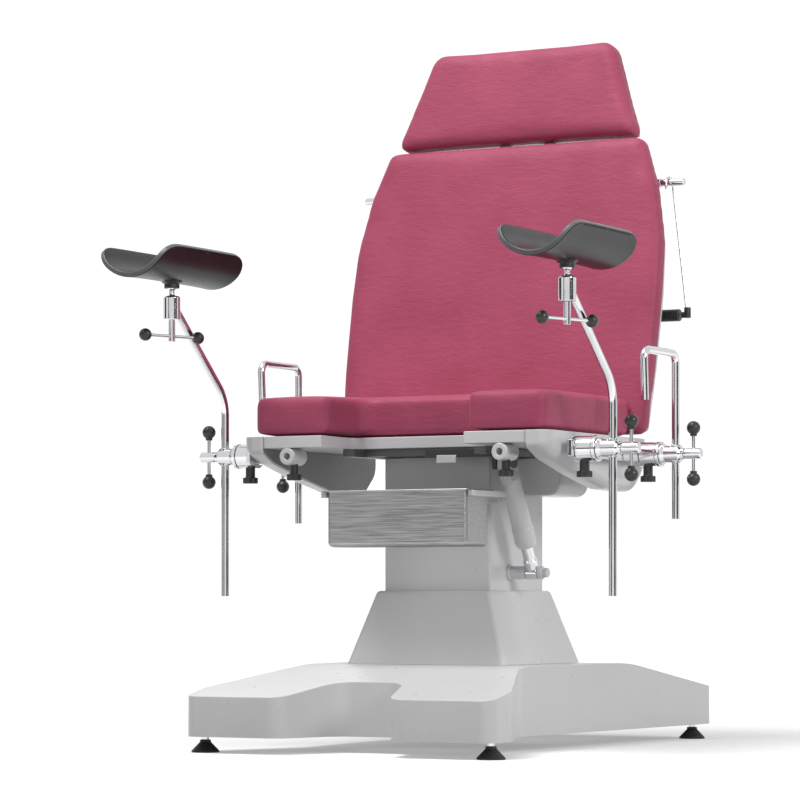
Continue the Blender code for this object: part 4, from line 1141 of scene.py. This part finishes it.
# ---------------------------------------------------------------- actuators
@dataclass
class TiltDrive:
    """The gas-spring-shaped actuator that tilts the seat, on the right of the column."""

    x: float = 0.158
    low: tuple[float, float] = (-0.031, 0.322)
    high: tuple[float, float] = (-0.140, 0.520)

    def along(self, distance: float) -> tuple[float, float, float]:
        """The point at a distance from the lower pivot towards the upper one."""
        dy, dz = self.high[0] - self.low[0], self.high[1] - self.low[1]
        length = math.hypot(dy, dz)
        return (self.x, self.low[0] + dy / length * distance, self.low[1] + dz / length * distance)

    def turned(self, profile: Sequence[tuple[float, float, float]]) -> Shaper:
        """Turn a profile about the actuator's own line."""
        start = Vector(self.along(0.0))
        line = Vector(self.along(1.0)) - start
        shape = Shaper().lathe(profile, (0, 0, 0))
        return shape.place(Matrix.Translation(start) @ line.to_track_quat("Z", "X").to_matrix().to_4x4())

    def body(self) -> bpy.types.Object:
        """The painted sleeve, its gland and its flat head."""
        shape = self.turned([(0.0565, 0.0116, 0), (0.0565, 0.0165, 0.0015), (0.062, 0.0185, 0.001),
                             (0.066, 0.0195, 0.0015),
                             (0.095, 0.0195, 0.001), (0.097, 0.0183, 0.0005), (0.196, 0.0183, 0.002),
                             (0.208, 0.0105, 0.003),
                             (0.208, 0.0116, 0), (0.100, 0.0116, 0)])
        y, z = self.high
        half = 0.0104
        low = self.along(0.190)
        outline = rounded([(y + 0.0235, z + 0.016, 0.010), (y - 0.0165, z + 0.018, 0.010),
                           (y - 0.0185, z - 0.008, 0.012),
                           (low[1] - 0.0160, low[2] - 0.012, 0.006),
                           (low[1] + 0.0165, low[2] + 0.004, 0.006)], 8)
        shape.slab_x(outline, self.x - half, self.x + half, 0.0022, 4)
        return shape.made("tilt_sleeve")

    def rod(self) -> bpy.types.Object:
        """The polished rod with its eye."""
        shape = self.turned([(0.010, 0.0, 0), (0.010, 0.0128, 0.001), (0.026, 0.0128, 0.0015),
                             (0.030, 0.0108, 0.001),
                             (0.190, 0.0108, 0.001), (0.190, 0.0, 0)])
        y, z = self.low
        eye = [(-0.0108, 0.0064, 0.0004), (-0.0108, 0.0125, 0.0010), (0.0108, 0.0125, 0.0010),
               (0.0108, 0.0064, 0.0004)]
        shape.lathe(eye, (self.x, y, z), Axis.X, 48)
        return shape.made("tilt_piston")

    def build(self, shop: Workshop) -> None:
        """Make and hand over the tilt actuator."""
        shop.hand_over(self.body(), WHITE, "tilt_actuator", "tilt_actuator")
        shop.hand_over(self.rod(), CHROME, "tilt_actuator_rod", "tilt_actuator_rod")


# ---------------------------------------------------------------- backrest
@dataclass
class Back:
    """The backrest, headrest, paper bar with its bail, and the recline actuator."""

    low: float = -0.078
    high: float = 0.4965
    thick: float = 0.050
    shell: tuple[float, float] = (0.0505, 0.0785)
    head_low: float = 0.502
    head_high: float = 0.6915
    head_thick: float = 0.055
    head_shell: tuple[float, float] = (0.0555, 0.080)
    bar: tuple[float, float] = (0.417, 0.0590)
    bar_r: float = 0.007
    drop: float = 0.251
    wire: float = 0.0022

    def matrix(self) -> Matrix:
        """From (x, height, -depth) to the chair's frame."""
        up, level = math.sin(math.radians(RECLINE)), math.cos(math.radians(RECLINE))
        return Matrix(((1, 0, 0, 0), (0, level, -up, BACK_ORIGIN[0]), (0, up, level, BACK_ORIGIN[1]),
                       (0, 0, 0, 1)))

    def at(self, height: float, depth: float) -> tuple[float, float]:
        """The (y, z) of a place on the backrest."""
        point = self.matrix() @ Vector((0, height, -depth))
        return point.y, point.z

    def outline(self, inset: float) -> Outline:
        """The backrest's front view, inset."""
        corner = max(0.022, inset + 0.004)
        right = [(0.318, self.low, corner), (0.325, 0.06, 0.12), (0.327, 0.200, 0.16), (0.3225, 0.300, 0.16),
                 (0.3025, 0.400, 0.14), (0.266, self.high, corner)]
        return shrunk(rounded(mirrored(right), 8), inset)

    def head_outline(self, inset: float) -> Outline:
        """The headrest's front view, inset."""
        right = [(0.257, self.head_low, max(0.016, inset + 0.004)), (0.189, self.head_high, 0.034)]
        return shrunk(rounded(mirrored(right), 10), inset)

    def pad(self, name: str, outline: Outline, full: Outline, thick: float,
            upholstery: Upholstery) -> bpy.types.Object:
        """A cushion from its front view, lying against its shell."""
        shape = Shaper().slab_z(outline, -thick + 0.003, -0.0045, 0.0, 1)
        caps = [f for f in shape.bm.faces if len(f.verts) > 8]
        front = max(caps, key=lambda f: f.calc_center_median().z)
        rear = min(caps, key=lambda f: f.calc_center_median().z)
        shape._soften(front.edges, 0.011, 5)
        shape._soften([e for e in rear.edges if e.is_valid], 0.004, 2)
        low = (min(x for x, _ in full), min(y for _, y in full), -thick)
        high = (max(x for x, _ in full), max(y for _, y in full), 0.0)
        item = upholstery.swell(shape.made(name), low, high)
        item.data.transform(self.matrix())
        return item

    def tray(self, name: str, outline: Outline, depths: tuple[float, float]) -> bpy.types.Object:
        """A painted tray, open towards its cushion, with a rounded back edge."""
        front, back = depths
        shape = Shaper().slab_z(outline, -back, -front, 0.0, 1)
        caps = [f for f in shape.bm.faces if len(f.verts) > 8]
        rear = min(caps, key=lambda f: f.calc_center_median().z)
        shape._soften(rear.edges, 0.009, 5)
        shape.hollow(lambda f: f.calc_center_median().z * 1000 + len(f.verts) * 1e-4, 0.004,
                     (0, 0, front - back + 0.004))
        return shape.place(self.matrix()).made(name)

    def paper_bar(self) -> bpy.types.Object:
        """The bar through the shell, with collars and domed ends."""
        y, z = self.at(*self.bar)
        half, flank = 0.342, 0.2845
        right = [(flank, self.bar_r, 0), (flank, 0.0085, 0.0006), (flank + 0.010, 0.0085, 0.0006),
                 (flank + 0.010, self.bar_r, 0), (half, self.bar_r, 0.0020), (half, 0.0, 0)]
        left = [(-a, r, c) for a, r, c in reversed(right)]
        return Shaper().lathe(left + right, (0, y, z), Axis.X, 40).made("paper_rod")

    def bail(self) -> bpy.types.Object:
        """The wire bail that hooks over the bar and holds the roll's axle."""
        y, z = self.at(*self.bar)
        bend = self.bar_r + self.wire + 0.007
        centre = z + self.bar_r + GAP + self.wire - bend
        low_y, low_z, top_x, low_x = y, z - self.drop, 0.311, 0.346
        hook = [(top_x, y + bend * math.cos(math.radians(a)), centre + bend * math.sin(math.radians(a)))
                for a in range(205, -1, -8)]
        corner = [(low_x, low_y, low_z + 0.010), (low_x - 0.0006, low_y, low_z + 0.0055),
                  (low_x - 0.0026, low_y, low_z + 0.0022), (low_x - 0.0055, low_y, low_z + 0.0004),
                  (low_x - 0.010, low_y, low_z)]
        half = hook + corner
        return Shaper().bar(half + [(-a, b, c) for a, b, c in reversed(half)], self.wire, 6).made("roll_bail")

    def bail_ends(self) -> bpy.types.Object:
        """The moulded corner pieces at the foot of the bail."""
        y, z = self.at(*self.bar)
        low_z = z - self.drop
        shape = Shaper()
        for sign in (1, -1):
            x = sign * 0.348
            shape.rod((x, y, low_z - 0.006), (x, y, low_z + 0.014), 0.0064, 0.0012, 28)
            shape.rod((x, y, low_z), (sign * 0.3368, y, low_z), 0.0058, 0.0008, 28)
        return shape.made("roll_bail_corners")

    def axle(self) -> bpy.types.Object:
        """The paper roll's axle."""
        y, z = self.at(*self.bar)
        bore, half = self.wire + GAP, 0.333
        profile = [(-half, bore, 0), (-half, 0.0115, 0.002), (half, 0.0115, 0.002), (half, bore, 0)]
        return Shaper().lathe(profile, (0, y, z - self.drop), Axis.X, 40).made("roll_spindle")

    def actuator(self, shop: Workshop) -> None:
        """The recline actuator behind the backrest."""
        low, high = Vector((0, 0.165, 0.500)), Vector((0, *self.at(0.105, 0.100)))
        line = high - low
        lay = Matrix.Translation(low) @ line.to_track_quat("Z", "X").to_matrix().to_4x4()
        sleeve = Shaper().lathe([(0.010, 0.0, 0), (0.010, 0.0155, 0.001), (0.140, 0.0155, 0.001),
                                 (0.145, 0.0145, 0.001),
                                 (0.150, 0.0135, 0.001), (0.150, 0.0084, 0), (0.024, 0.0084, 0),
                                 (0.024, 0.0, 0)], (0, 0, 0))
        sleeve.place(lay)
        sleeve.lathe([(-0.012, 0.0084, 0), (-0.012, 0.0168, 0.001), (0.012, 0.0168, 0.001),
                      (0.012, 0.0084, 0)],
                     low, Axis.X, 40)
        shop.hand_over(sleeve.made("back_sleeve"), DARK_STEEL, "back_actuator", "back_actuator")
        piston = Shaper().lathe([(0.100, 0.0, 0), (0.100, 0.0079, 0.001), (line.length - 0.011, 0.0079, 0),
                                 (line.length - 0.011, 0.0, 0)], (0, 0, 0)).place(lay)
        piston.lathe([(-0.009, 0.0100, 0.0004), (-0.009, 0.0158, 0.001), (0.009, 0.0158, 0.001),
                      (0.009, 0.0100, 0.0004)],
                     high, Axis.X, 40)
        shop.hand_over(piston.made("back_piston"), CHROME, "back_actuator_rod", "back_actuator_rod")

    def build(self, shop: Workshop, frame: dict, upholstery: Upholstery) -> None:
        """Make and hand over the backrest and the headrest."""
        back_pad = self.pad("back_pad", self.outline(CUSHION_INSET), self.outline(0.0), self.thick,
                            upholstery)
        shop.hand_over(back_pad, RASPBERRY, "backrest", "backrest_cushion", angle=80, weighted=False)
        head_pad = self.pad("head_pad", self.head_outline(CUSHION_INSET), self.head_outline(0.0),
                            self.head_thick,
                            upholstery)
        shop.hand_over(head_pad, RASPBERRY, "headrest", "headrest_cushion", angle=80, weighted=False)
        shop.hand_over(self.tray("back_tray", self.outline(0.015), self.shell), WHITE, "backrest",
                       "backrest_shell")
        shop.hand_over(self.tray("head_tray", self.head_outline(0.015), self.head_shell), WHITE, "headrest",
                       "headrest_shell")
        shop.hand_over(self.paper_bar(), CHROME, "backrest", "paper_bar")
        shop.hand_over(self.bail(), CHROME, "roll_hanger", "roll_hanger")
        shop.hand_over(self.bail_ends(), KNOB, "roll_hanger")
        shop.hand_over(self.axle(), KNOB, "roll_axle", "roll_axle")
        self.actuator(shop)
        shop.repaint(frame, DARK_STEEL, "backrest_frame")


# ---------------------------------------------------------------- side fittings
@dataclass
class RailFitting:
    """What the leg holder and the handrail share: a clamp on the side rail with its knobs."""

    side: Side
    y: float
    x: float = 0.3985
    z: float = 0.539
    clamp_r: float = 0.0225

    def clamp(self, name: str) -> bpy.types.Object:
        """The clamp's round jaw, in two halves above and below the rail, and its collar."""
        start, end = 0.3263, 0.3640
        shape = Shaper()
        shape.lathe([(0.3340, 0.0, 0), (0.3340, self.clamp_r, 0.0008), (end, self.clamp_r, 0.001),
                     (end, 0.0190, 0),
                     (0.3650, 0.0190, 0), (0.3650, self.clamp_r + 0.001, 0.001),
                     (0.3715, self.clamp_r + 0.001, 0.001),
                     (0.3715, 0.0, 0)], (0, self.y, self.z), Axis.X, 64)
        for low in (True, False):
            jaw = [(self.clamp_r * math.cos(math.radians(a)), self.clamp_r * math.sin(math.radians(a)))
                   for a in range(45, 136, 5)]
            outline = [(self.y + c, self.z + (-s if low else s)) for c, s in jaw]
            shape.slab_x(outline, start, 0.3345, 0.0006, 2)
        return shape.mirror(self.side).made(name)

    def hub(self, name: str) -> bpy.types.Object:
        """The head that the rod passes through."""
        profile = [(0.3719, 0.0, 0), (0.3719, 0.0200, 0.0008), (0.3745, 0.0200, 0.0015),
                   (0.3800, 0.0158, 0.0015),
                   (0.4075, 0.0158, 0.003), (0.4110, 0.0118, 0.0015), (0.4164, 0.0105, 0.0008),
                   (0.4164, 0.0, 0)]
        shape = Shaper().lathe(profile, (0, self.y, self.z), Axis.X, 64)
        for sign in (1, -1):
            shape.lathe([(sign * 0.0125, 0.0084, 0), (sign * 0.0125, 0.0112, 0.0004),
                         (sign * 0.0160, 0.0112, 0.0008),
                         (sign * 0.0160, 0.0084, 0)], (self.x, self.y, self.z), Axis.Z, 40)
        return shape.mirror(self.side).made(name)

    def tee(self, name: str, shop: Workshop, body: str, node: str) -> None:
        """The clamping tee: plated barrel and bar, and two ball knobs."""
        start, x, reach = 0.4166 + GAP, 0.434, 0.0468
        shape = Shaper().lathe([(start, 0.0, 0), (start, 0.0095, 0.0006), (start + 0.004, 0.0098, 0.0006),
                                (0.4490, 0.0098, 0.002), (0.4505, 0.0060, 0.001), (0.4505, 0.0, 0)],
                               (0, self.y, self.z), Axis.X, 48)
        shape.rod((x, self.y, self.z - reach + 0.008), (x, self.y, self.z + reach - 0.008), 0.0033, 0.0004,
                  24)
        shop.hand_over(shape.mirror(self.side).made(name + "_barrel"), CHROME, body, node)
        knobs = Shaper()
        for sign in (1, -1):
            knobs.ball((x, self.y, self.z + sign * reach), 0.0125)
            knobs.lathe([(sign * (reach - 0.0150), 0.0040, 0), (sign * (reach - 0.0150), 0.0062, 0.0005),
                         (sign * (reach - 0.0095), 0.0066, 0.0005), (sign * (reach - 0.0095), 0.0040, 0)],
                        (x, self.y, self.z), Axis.Z, 32)
        shop.hand_over(knobs.mirror(self.side).made(name + "_knobs"), KNOB, body)

    def screw(self, name: str) -> bpy.types.Object:
        """The thumbscrew under the clamp."""
        size = Screw(0.4885, 0.4995, 0.014, 0.0088, 0.5232)
        return thumbscrew(name, self.side.value * 0.3435, self.y, size)

    def bent(self, corners: Sequence[tuple[float, float]], radius: float) -> list[tuple[float, float, float]]:
        """A path through (y, z) corners with its inner corners rounded."""
        middle: Outline = []
        for i in range(1, len(corners) - 1):
            three = [(*corners[i - 1], 0.0), (*corners[i], radius), (*corners[i + 1], 0.0)]
            middle += rounded(three, 20)[1:-1]
        return [(self.x, y, z) for y, z in [corners[0]] + middle + [corners[-1]]]


@dataclass
class LegHolder(RailFitting):
    """A leg holder: clamp, tilting head, bent rod and the knee trough on its ball."""

    y: float = -0.203
    knee_y: float = -0.389
    ball_z: float = 0.8425
    ball_r: float = 0.009
    trough_r: float = 0.078
    trough_y: tuple[float, float] = (-0.530, -0.242)
    wall: float = 0.010

    def rod(self) -> bpy.types.Object:
        """The bent rod, the block on its top, and the ball."""
        path = self.bent([(self.y, 0.279), (self.y, 0.648), (-0.378, 0.803)], 0.075)
        shape = Shaper().bar(path, 0.0075, 10)
        x, y = self.x, self.knee_y
        shape.lathe([(0.782, 0.0, 0), (0.782, 0.0155, 0.0015), (0.8225, 0.0155, 0.002),
                     (0.825, 0.0125, 0.001),
                     (0.825, 0.0, 0)], (x, y, 0))
        shape.lathe([(0.824, 0.0, 0), (0.824, 0.0075, 0), (0.828, 0.0050, 0.002), (self.ball_z, 0.0048, 0),
                     (self.ball_z, 0.0, 0)], (x, y, 0), Axis.Z, 40)
        shape.ball((x, y, self.ball_z), self.ball_r - 0.0001)
        return shape.mirror(self.side).made("leg_bar_" + self.side.label)

    def knee_tee(self, shop: Workshop, name: str) -> None:
        """The tee handle under the block, its bar turned clear of the rod."""
        x, y, z, reach = self.x, self.knee_y, 0.752, 0.062
        turn = self.side.value * math.radians(18)
        dx, dy = reach * math.sin(turn), reach * math.cos(turn)
        shape = Shaper().lathe([(0.7420, 0.0, 0), (0.7420, 0.0062, 0.001), (0.7815, 0.0062, 0.0005),
                                (0.7815, 0.0, 0)],
                               (x, y, 0), Axis.Z, 40)
        shape.rod((x - dx * 0.85, y - dy * 0.85, z), (x + dx * 0.85, y + dy * 0.85, z), 0.003, 0.0004, 24)
        shop.hand_over(shape.mirror(self.side).made(name + "_stem"), CHROME, name, name)
        knobs = Shaper().ball((x - dx, y - dy, z), 0.0115).ball((x + dx, y + dy, z), 0.0115)
        shop.hand_over(knobs.mirror(self.side).made(name + "_knobs"), KNOB, name)

    def trough(self) -> bpy.types.Object:
        """The moulded trough, with rounded corners and turned-out lips."""
        radius, half_y = self.trough_r - self.wall / 2, (self.trough_y[1] - self.trough_y[0]) / 2 - 0.001
        middle = (self.trough_y[1] + self.trough_y[0]) / 2
        half_s = radius * math.radians(79)
        centre = self.ball_z + 0.0075 + self.trough_r
        shape = Shaper()
        bm = shape.bm
        bmesh.ops.create_grid(bm, x_segments=40, y_segments=56, size=1.0)
        corner = 0.050
        for vert in bm.verts:
            s, t = vert.co.x * half_s, vert.co.y * half_y
            p, q = (abs(s) - (half_s - corner)) / corner, (abs(t) - (half_y - corner)) / corner
            if p > 0 and q > 0:
                pull = max(p, q) / math.hypot(p, q)
                s = math.copysign(half_s - corner + p * pull * corner, s)
                t = math.copysign(half_y - corner + q * pull * corner, t)
            angle = s / radius
            lip = max(0.0, abs(angle) - math.radians(58)) / math.radians(21)
            reach = radius + 0.0035 * lip * lip
            turned = angle - math.copysign(lip * lip * math.radians(5), angle)
            drop = 0.004 * (abs(t) / half_y) ** 4
            vert.co = Vector((self.x + reach * math.sin(turned), middle + t,
                              centre - reach * math.cos(turned) - drop * 0.5))
        bmesh.ops.recalc_face_normals(bm, faces=bm.faces)
        if sum(f.normal.z for f in bm.faces) < 0:
            bmesh.ops.reverse_faces(bm, faces=bm.faces)
        shape.mirror(self.side)
        item = shape.made("knee_trough_" + self.side.label)
        thick = item.modifiers.new("wall", "SOLIDIFY")
        thick.thickness = self.wall
        thick.offset = 0.0
        # The wall's rim faces take the second material, the lighter grey painted highlight.
        thick.material_offset_rim = 1
        soft = item.modifiers.new("rim", "BEVEL")
        soft.width = 0.0036
        soft.segments = 4
        soft.limit_method = "ANGLE"
        soft.angle_limit = math.radians(50)
        return item

    def cup(self) -> bpy.types.Object:
        """The cup that holds the ball under the trough."""
        bore = self.ball_r + 0.0007
        top = self.ball_z + 0.0110
        profile = [(self.ball_z - 0.0035, bore - 0.0005, 0.0003), (self.ball_z - 0.0035, 0.0140, 0.0015),
                   (self.ball_z + 0.0045, 0.0140, 0.001), (self.ball_z + 0.0075, 0.0190, 0.001),
                   (top, 0.0190, 0),
                   (top, 0.0, 0), (self.ball_z + 0.0098, 0.0, 0), (self.ball_z + 0.0075, 0.0060, 0.001),
                   (self.ball_z + 0.0035, bore, 0)]
        return Shaper().lathe(profile, (self.x, self.knee_y, 0), Axis.Z, 40).mirror(self.side).made(
            "knee_cup_" + self.side.label)

    def build(self, shop: Workshop) -> None:
        """Make and hand over the leg holder."""
        tag = self.side.label
        shop.hand_over(self.clamp("leg_jaw_" + tag), CHROME, "leg_clamp_" + tag, "leg_clamp_" + tag)
        shop.hand_over(self.screw("leg_knob_" + tag), KNOB, "leg_screw_" + tag, "leg_screw_" + tag)
        shop.hand_over(self.hub("leg_hub_" + tag), CHROME, "leg_head_" + tag, "leg_head_" + tag)
        self.tee("leg_tee_" + tag, shop, "leg_handle_" + tag, "leg_handle_" + tag)
        shop.hand_over(self.rod(), CHROME, "leg_rod_" + tag, "leg_rod_" + tag)
        self.knee_tee(shop, "knee_handle_" + tag)
        trough = shop.hand_over(self.trough(), SKIN, "knee_support_" + tag, "knee_support_" + tag,
                                weighted=False)
        # the rim faces get the lighter grey painted highlight
        trough.data.materials.append(RIM_HIGHLIGHT.build())
        shop.hand_over(self.cup(), KNOB, "knee_support_" + tag)


@dataclass
class Handrail(RailFitting):
    """A handrail: clamp and head in one, and the bent bar."""

    y: float = 0.070
    bar_r: float = 0.0072

    def bow(self) -> bpy.types.Object:
        """The bent bar that the hand holds."""
        front = self.y - 0.142
        path = self.bent([(self.y, 0.420), (self.y, 0.722), (front, 0.722), (front + 0.006, 0.631)], 0.017)
        return Shaper().bar(path, self.bar_r, 10).mirror(self.side).made("hand_bow_" + self.side.label)

    def build(self, shop: Workshop) -> None:
        """Make and hand over the handrail."""
        tag = self.side.label
        body = "handrail_clamp_" + tag
        shop.hand_over(self.clamp("hand_jaw_" + tag), CHROME, body, body)
        shop.hand_over(self.hub("hand_hub_" + tag), CHROME, body)
        shop.hand_over(self.screw("hand_knob_" + tag), KNOB, "handrail_screw_" + tag, "handrail_screw_" + tag)
        self.tee("hand_tee_" + tag, shop, "handrail_handle_" + tag, "handrail_handle_" + tag)
        shop.hand_over(self.bow(), CHROME, "handrail_" + tag, "handrail_" + tag)


# ---------------------------------------------------------------- studio
@dataclass
class Studio:
    """The plain floor, the soft lights and the camera."""

    azimuth: float = 28.44
    lens: float = 149.45
    camera_at: tuple[float, float, float] = (2.847, -5.509, 0.277)
    shift: float = 0.2465
    ambient: float = 0.30
    sheen: float = 0.95
    behind: float = 1.05

    def floor(self) -> None:
        """A wide pale floor."""
        shape = Shaper()
        bmesh.ops.create_circle(shape.bm, cap_ends=True, segments=64, radius=40.0)
        floor = shape.made("studio_floor")
        if floor.data.polygons[0].normal.z < 0:
            floor.data.flip_normals()
        graph = Graph("studio_floor_paint")
        graph.tint(graph.noise(0.4, 2.0), (0.86, 0.86, 0.86), (0.88, 0.88, 0.88))
        graph.shader.inputs["Roughness"].default_value = 0.9
        graph.shader.inputs["Emission Color"].default_value = (1.0, 1.0, 1.0, 1.0)
        far = graph.nodes.new("ShaderNodeVectorMath")
        far.operation = "LENGTH"
        graph.links.new(graph.place, far.inputs[0])
        glow = graph.nodes.new("ShaderNodeMapRange")
        for key, value in (("From Min", 0.8), ("From Max", 3.0), ("To Min", 0.30), ("To Max", 0.85)):
            glow.inputs[key].default_value = value
        graph.links.new(far.outputs["Value"], glow.inputs["Value"])
        graph.links.new(glow.outputs["Result"], graph.shader.inputs["Emission Strength"])
        graph.shader.inputs["Specular IOR Level"].default_value = 0.1
        floor.data.materials.append(graph.material)
        floor.visible_diffuse = False

    def flag(self, name: str, low: Point, high: Point, tone: float) -> None:
        """A dark board that only polished metal sees."""
        item = Shaper().block(low, high, 0.001, 1).made(name)
        material = bpy.data.materials.new(name)
        material.use_nodes = True
        material.node_tree.nodes["Principled BSDF"].inputs["Base Color"].default_value = (tone, tone, tone,
                                                                                          1.0)
        item.data.materials.append(material)
        item.visible_camera = False
        item.visible_diffuse = False
        item.visible_shadow = False
        item.visible_transmission = False

    def light(self, name: str, at: Point, aim: Point, size: float, power: float) -> None:
        """A square area light.

        Args:
            name: its name.
            at: where it stands.
            aim: what it points at.
            size: its side.
            power: its power in watts.
        """
        data = bpy.data.lights.new(name, "AREA")
        data.size = size
        data.energy = power
        lamp = bpy.data.objects.new(name, data)
        bpy.context.scene.collection.objects.link(lamp)
        lamp.location = at
        lamp.rotation_euler = (Vector(aim) - Vector(at)).to_track_quat("-Z", "Y").to_euler()

    def surroundings(self) -> bpy.types.World:
        """A white room: white behind the chair, dimmer as a light, and bright in polished metal."""
        world = bpy.data.worlds.new("studio")
        world.use_nodes = True
        nodes, links = world.node_tree.nodes, world.node_tree.links
        shade = nodes["Background"]
        shade.inputs["Color"].default_value = (1.0, 1.0, 1.0, 1.0)
        path = nodes.new("ShaderNodeLightPath")
        strength = None
        for ray, value in (("Is Glossy Ray", self.sheen), ("Is Camera Ray", self.behind)):
            pick = nodes.new("ShaderNodeMix")
            links.new(path.outputs[ray], pick.inputs["Factor"])
            pick.inputs["B"].default_value = value
            if strength:
                links.new(strength, pick.inputs["A"])
            else:
                pick.inputs["A"].default_value = self.ambient
            strength = pick.outputs["Result"]
        links.new(strength, shade.inputs["Strength"])
        return world

    def build(self) -> None:
        """Set the stage."""
        scene = bpy.context.scene
        self.floor()
        scene.world = self.surroundings()
        scene.view_settings.view_transform = "Standard"
        self.light("key", (-0.8, -1.8, 4.8), (0, 0, 0.3), 2.4, 165)
        self.light("fill", (4.2, -1.2, 2.2), (0, 0, 0.5), 1.6, 72)
        self.flag("flag_left", (-6.0, -5.0, 0.0), (-5.9, -1.5, 4.0), 0.02)
        self.flag("flag_right", (4.6, -3.2, 0.0), (4.7, 1.0, 1.6), 0.03)
        self.flag("flag_front", (-2.4, -7.1, 0.0), (-1.3, -7.0, 5.0), 0.02)
        self.flag("flag_low", (-3.0, -6.6, 0.02), (0.6, -6.5, 1.2), 0.03)
        data = bpy.data.cameras.new("camera")
        data.lens = self.lens
        data.sensor_width = 36.0
        data.shift_y = self.shift
        data.clip_end = 200.0
        camera = bpy.data.objects.new("camera", data)
        scene.collection.objects.link(camera)
        camera.location = self.camera_at
        camera.rotation_euler = (math.pi / 2, 0.0, math.radians(self.azimuth))
        scene.camera = camera


def main() -> None:
    """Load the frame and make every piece."""
    logging.basicConfig(level=logging.INFO, format="%(name)s: %(message)s")
    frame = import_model()
    Studio().build()
    shop = Workshop()
    upholstery = Upholstery()
    Base().build(shop, frame)
    Column().build(shop)
    Seat().build(shop, frame, upholstery)
    TiltDrive().build(shop)
    Back().build(shop, frame, upholstery)
    for side in Side:
        LegHolder(side).build(shop)
        Handrail(side).build(shop)
    LOG.info("%d pieces made", shop.count)


if __name__ == "__main__":
    main()
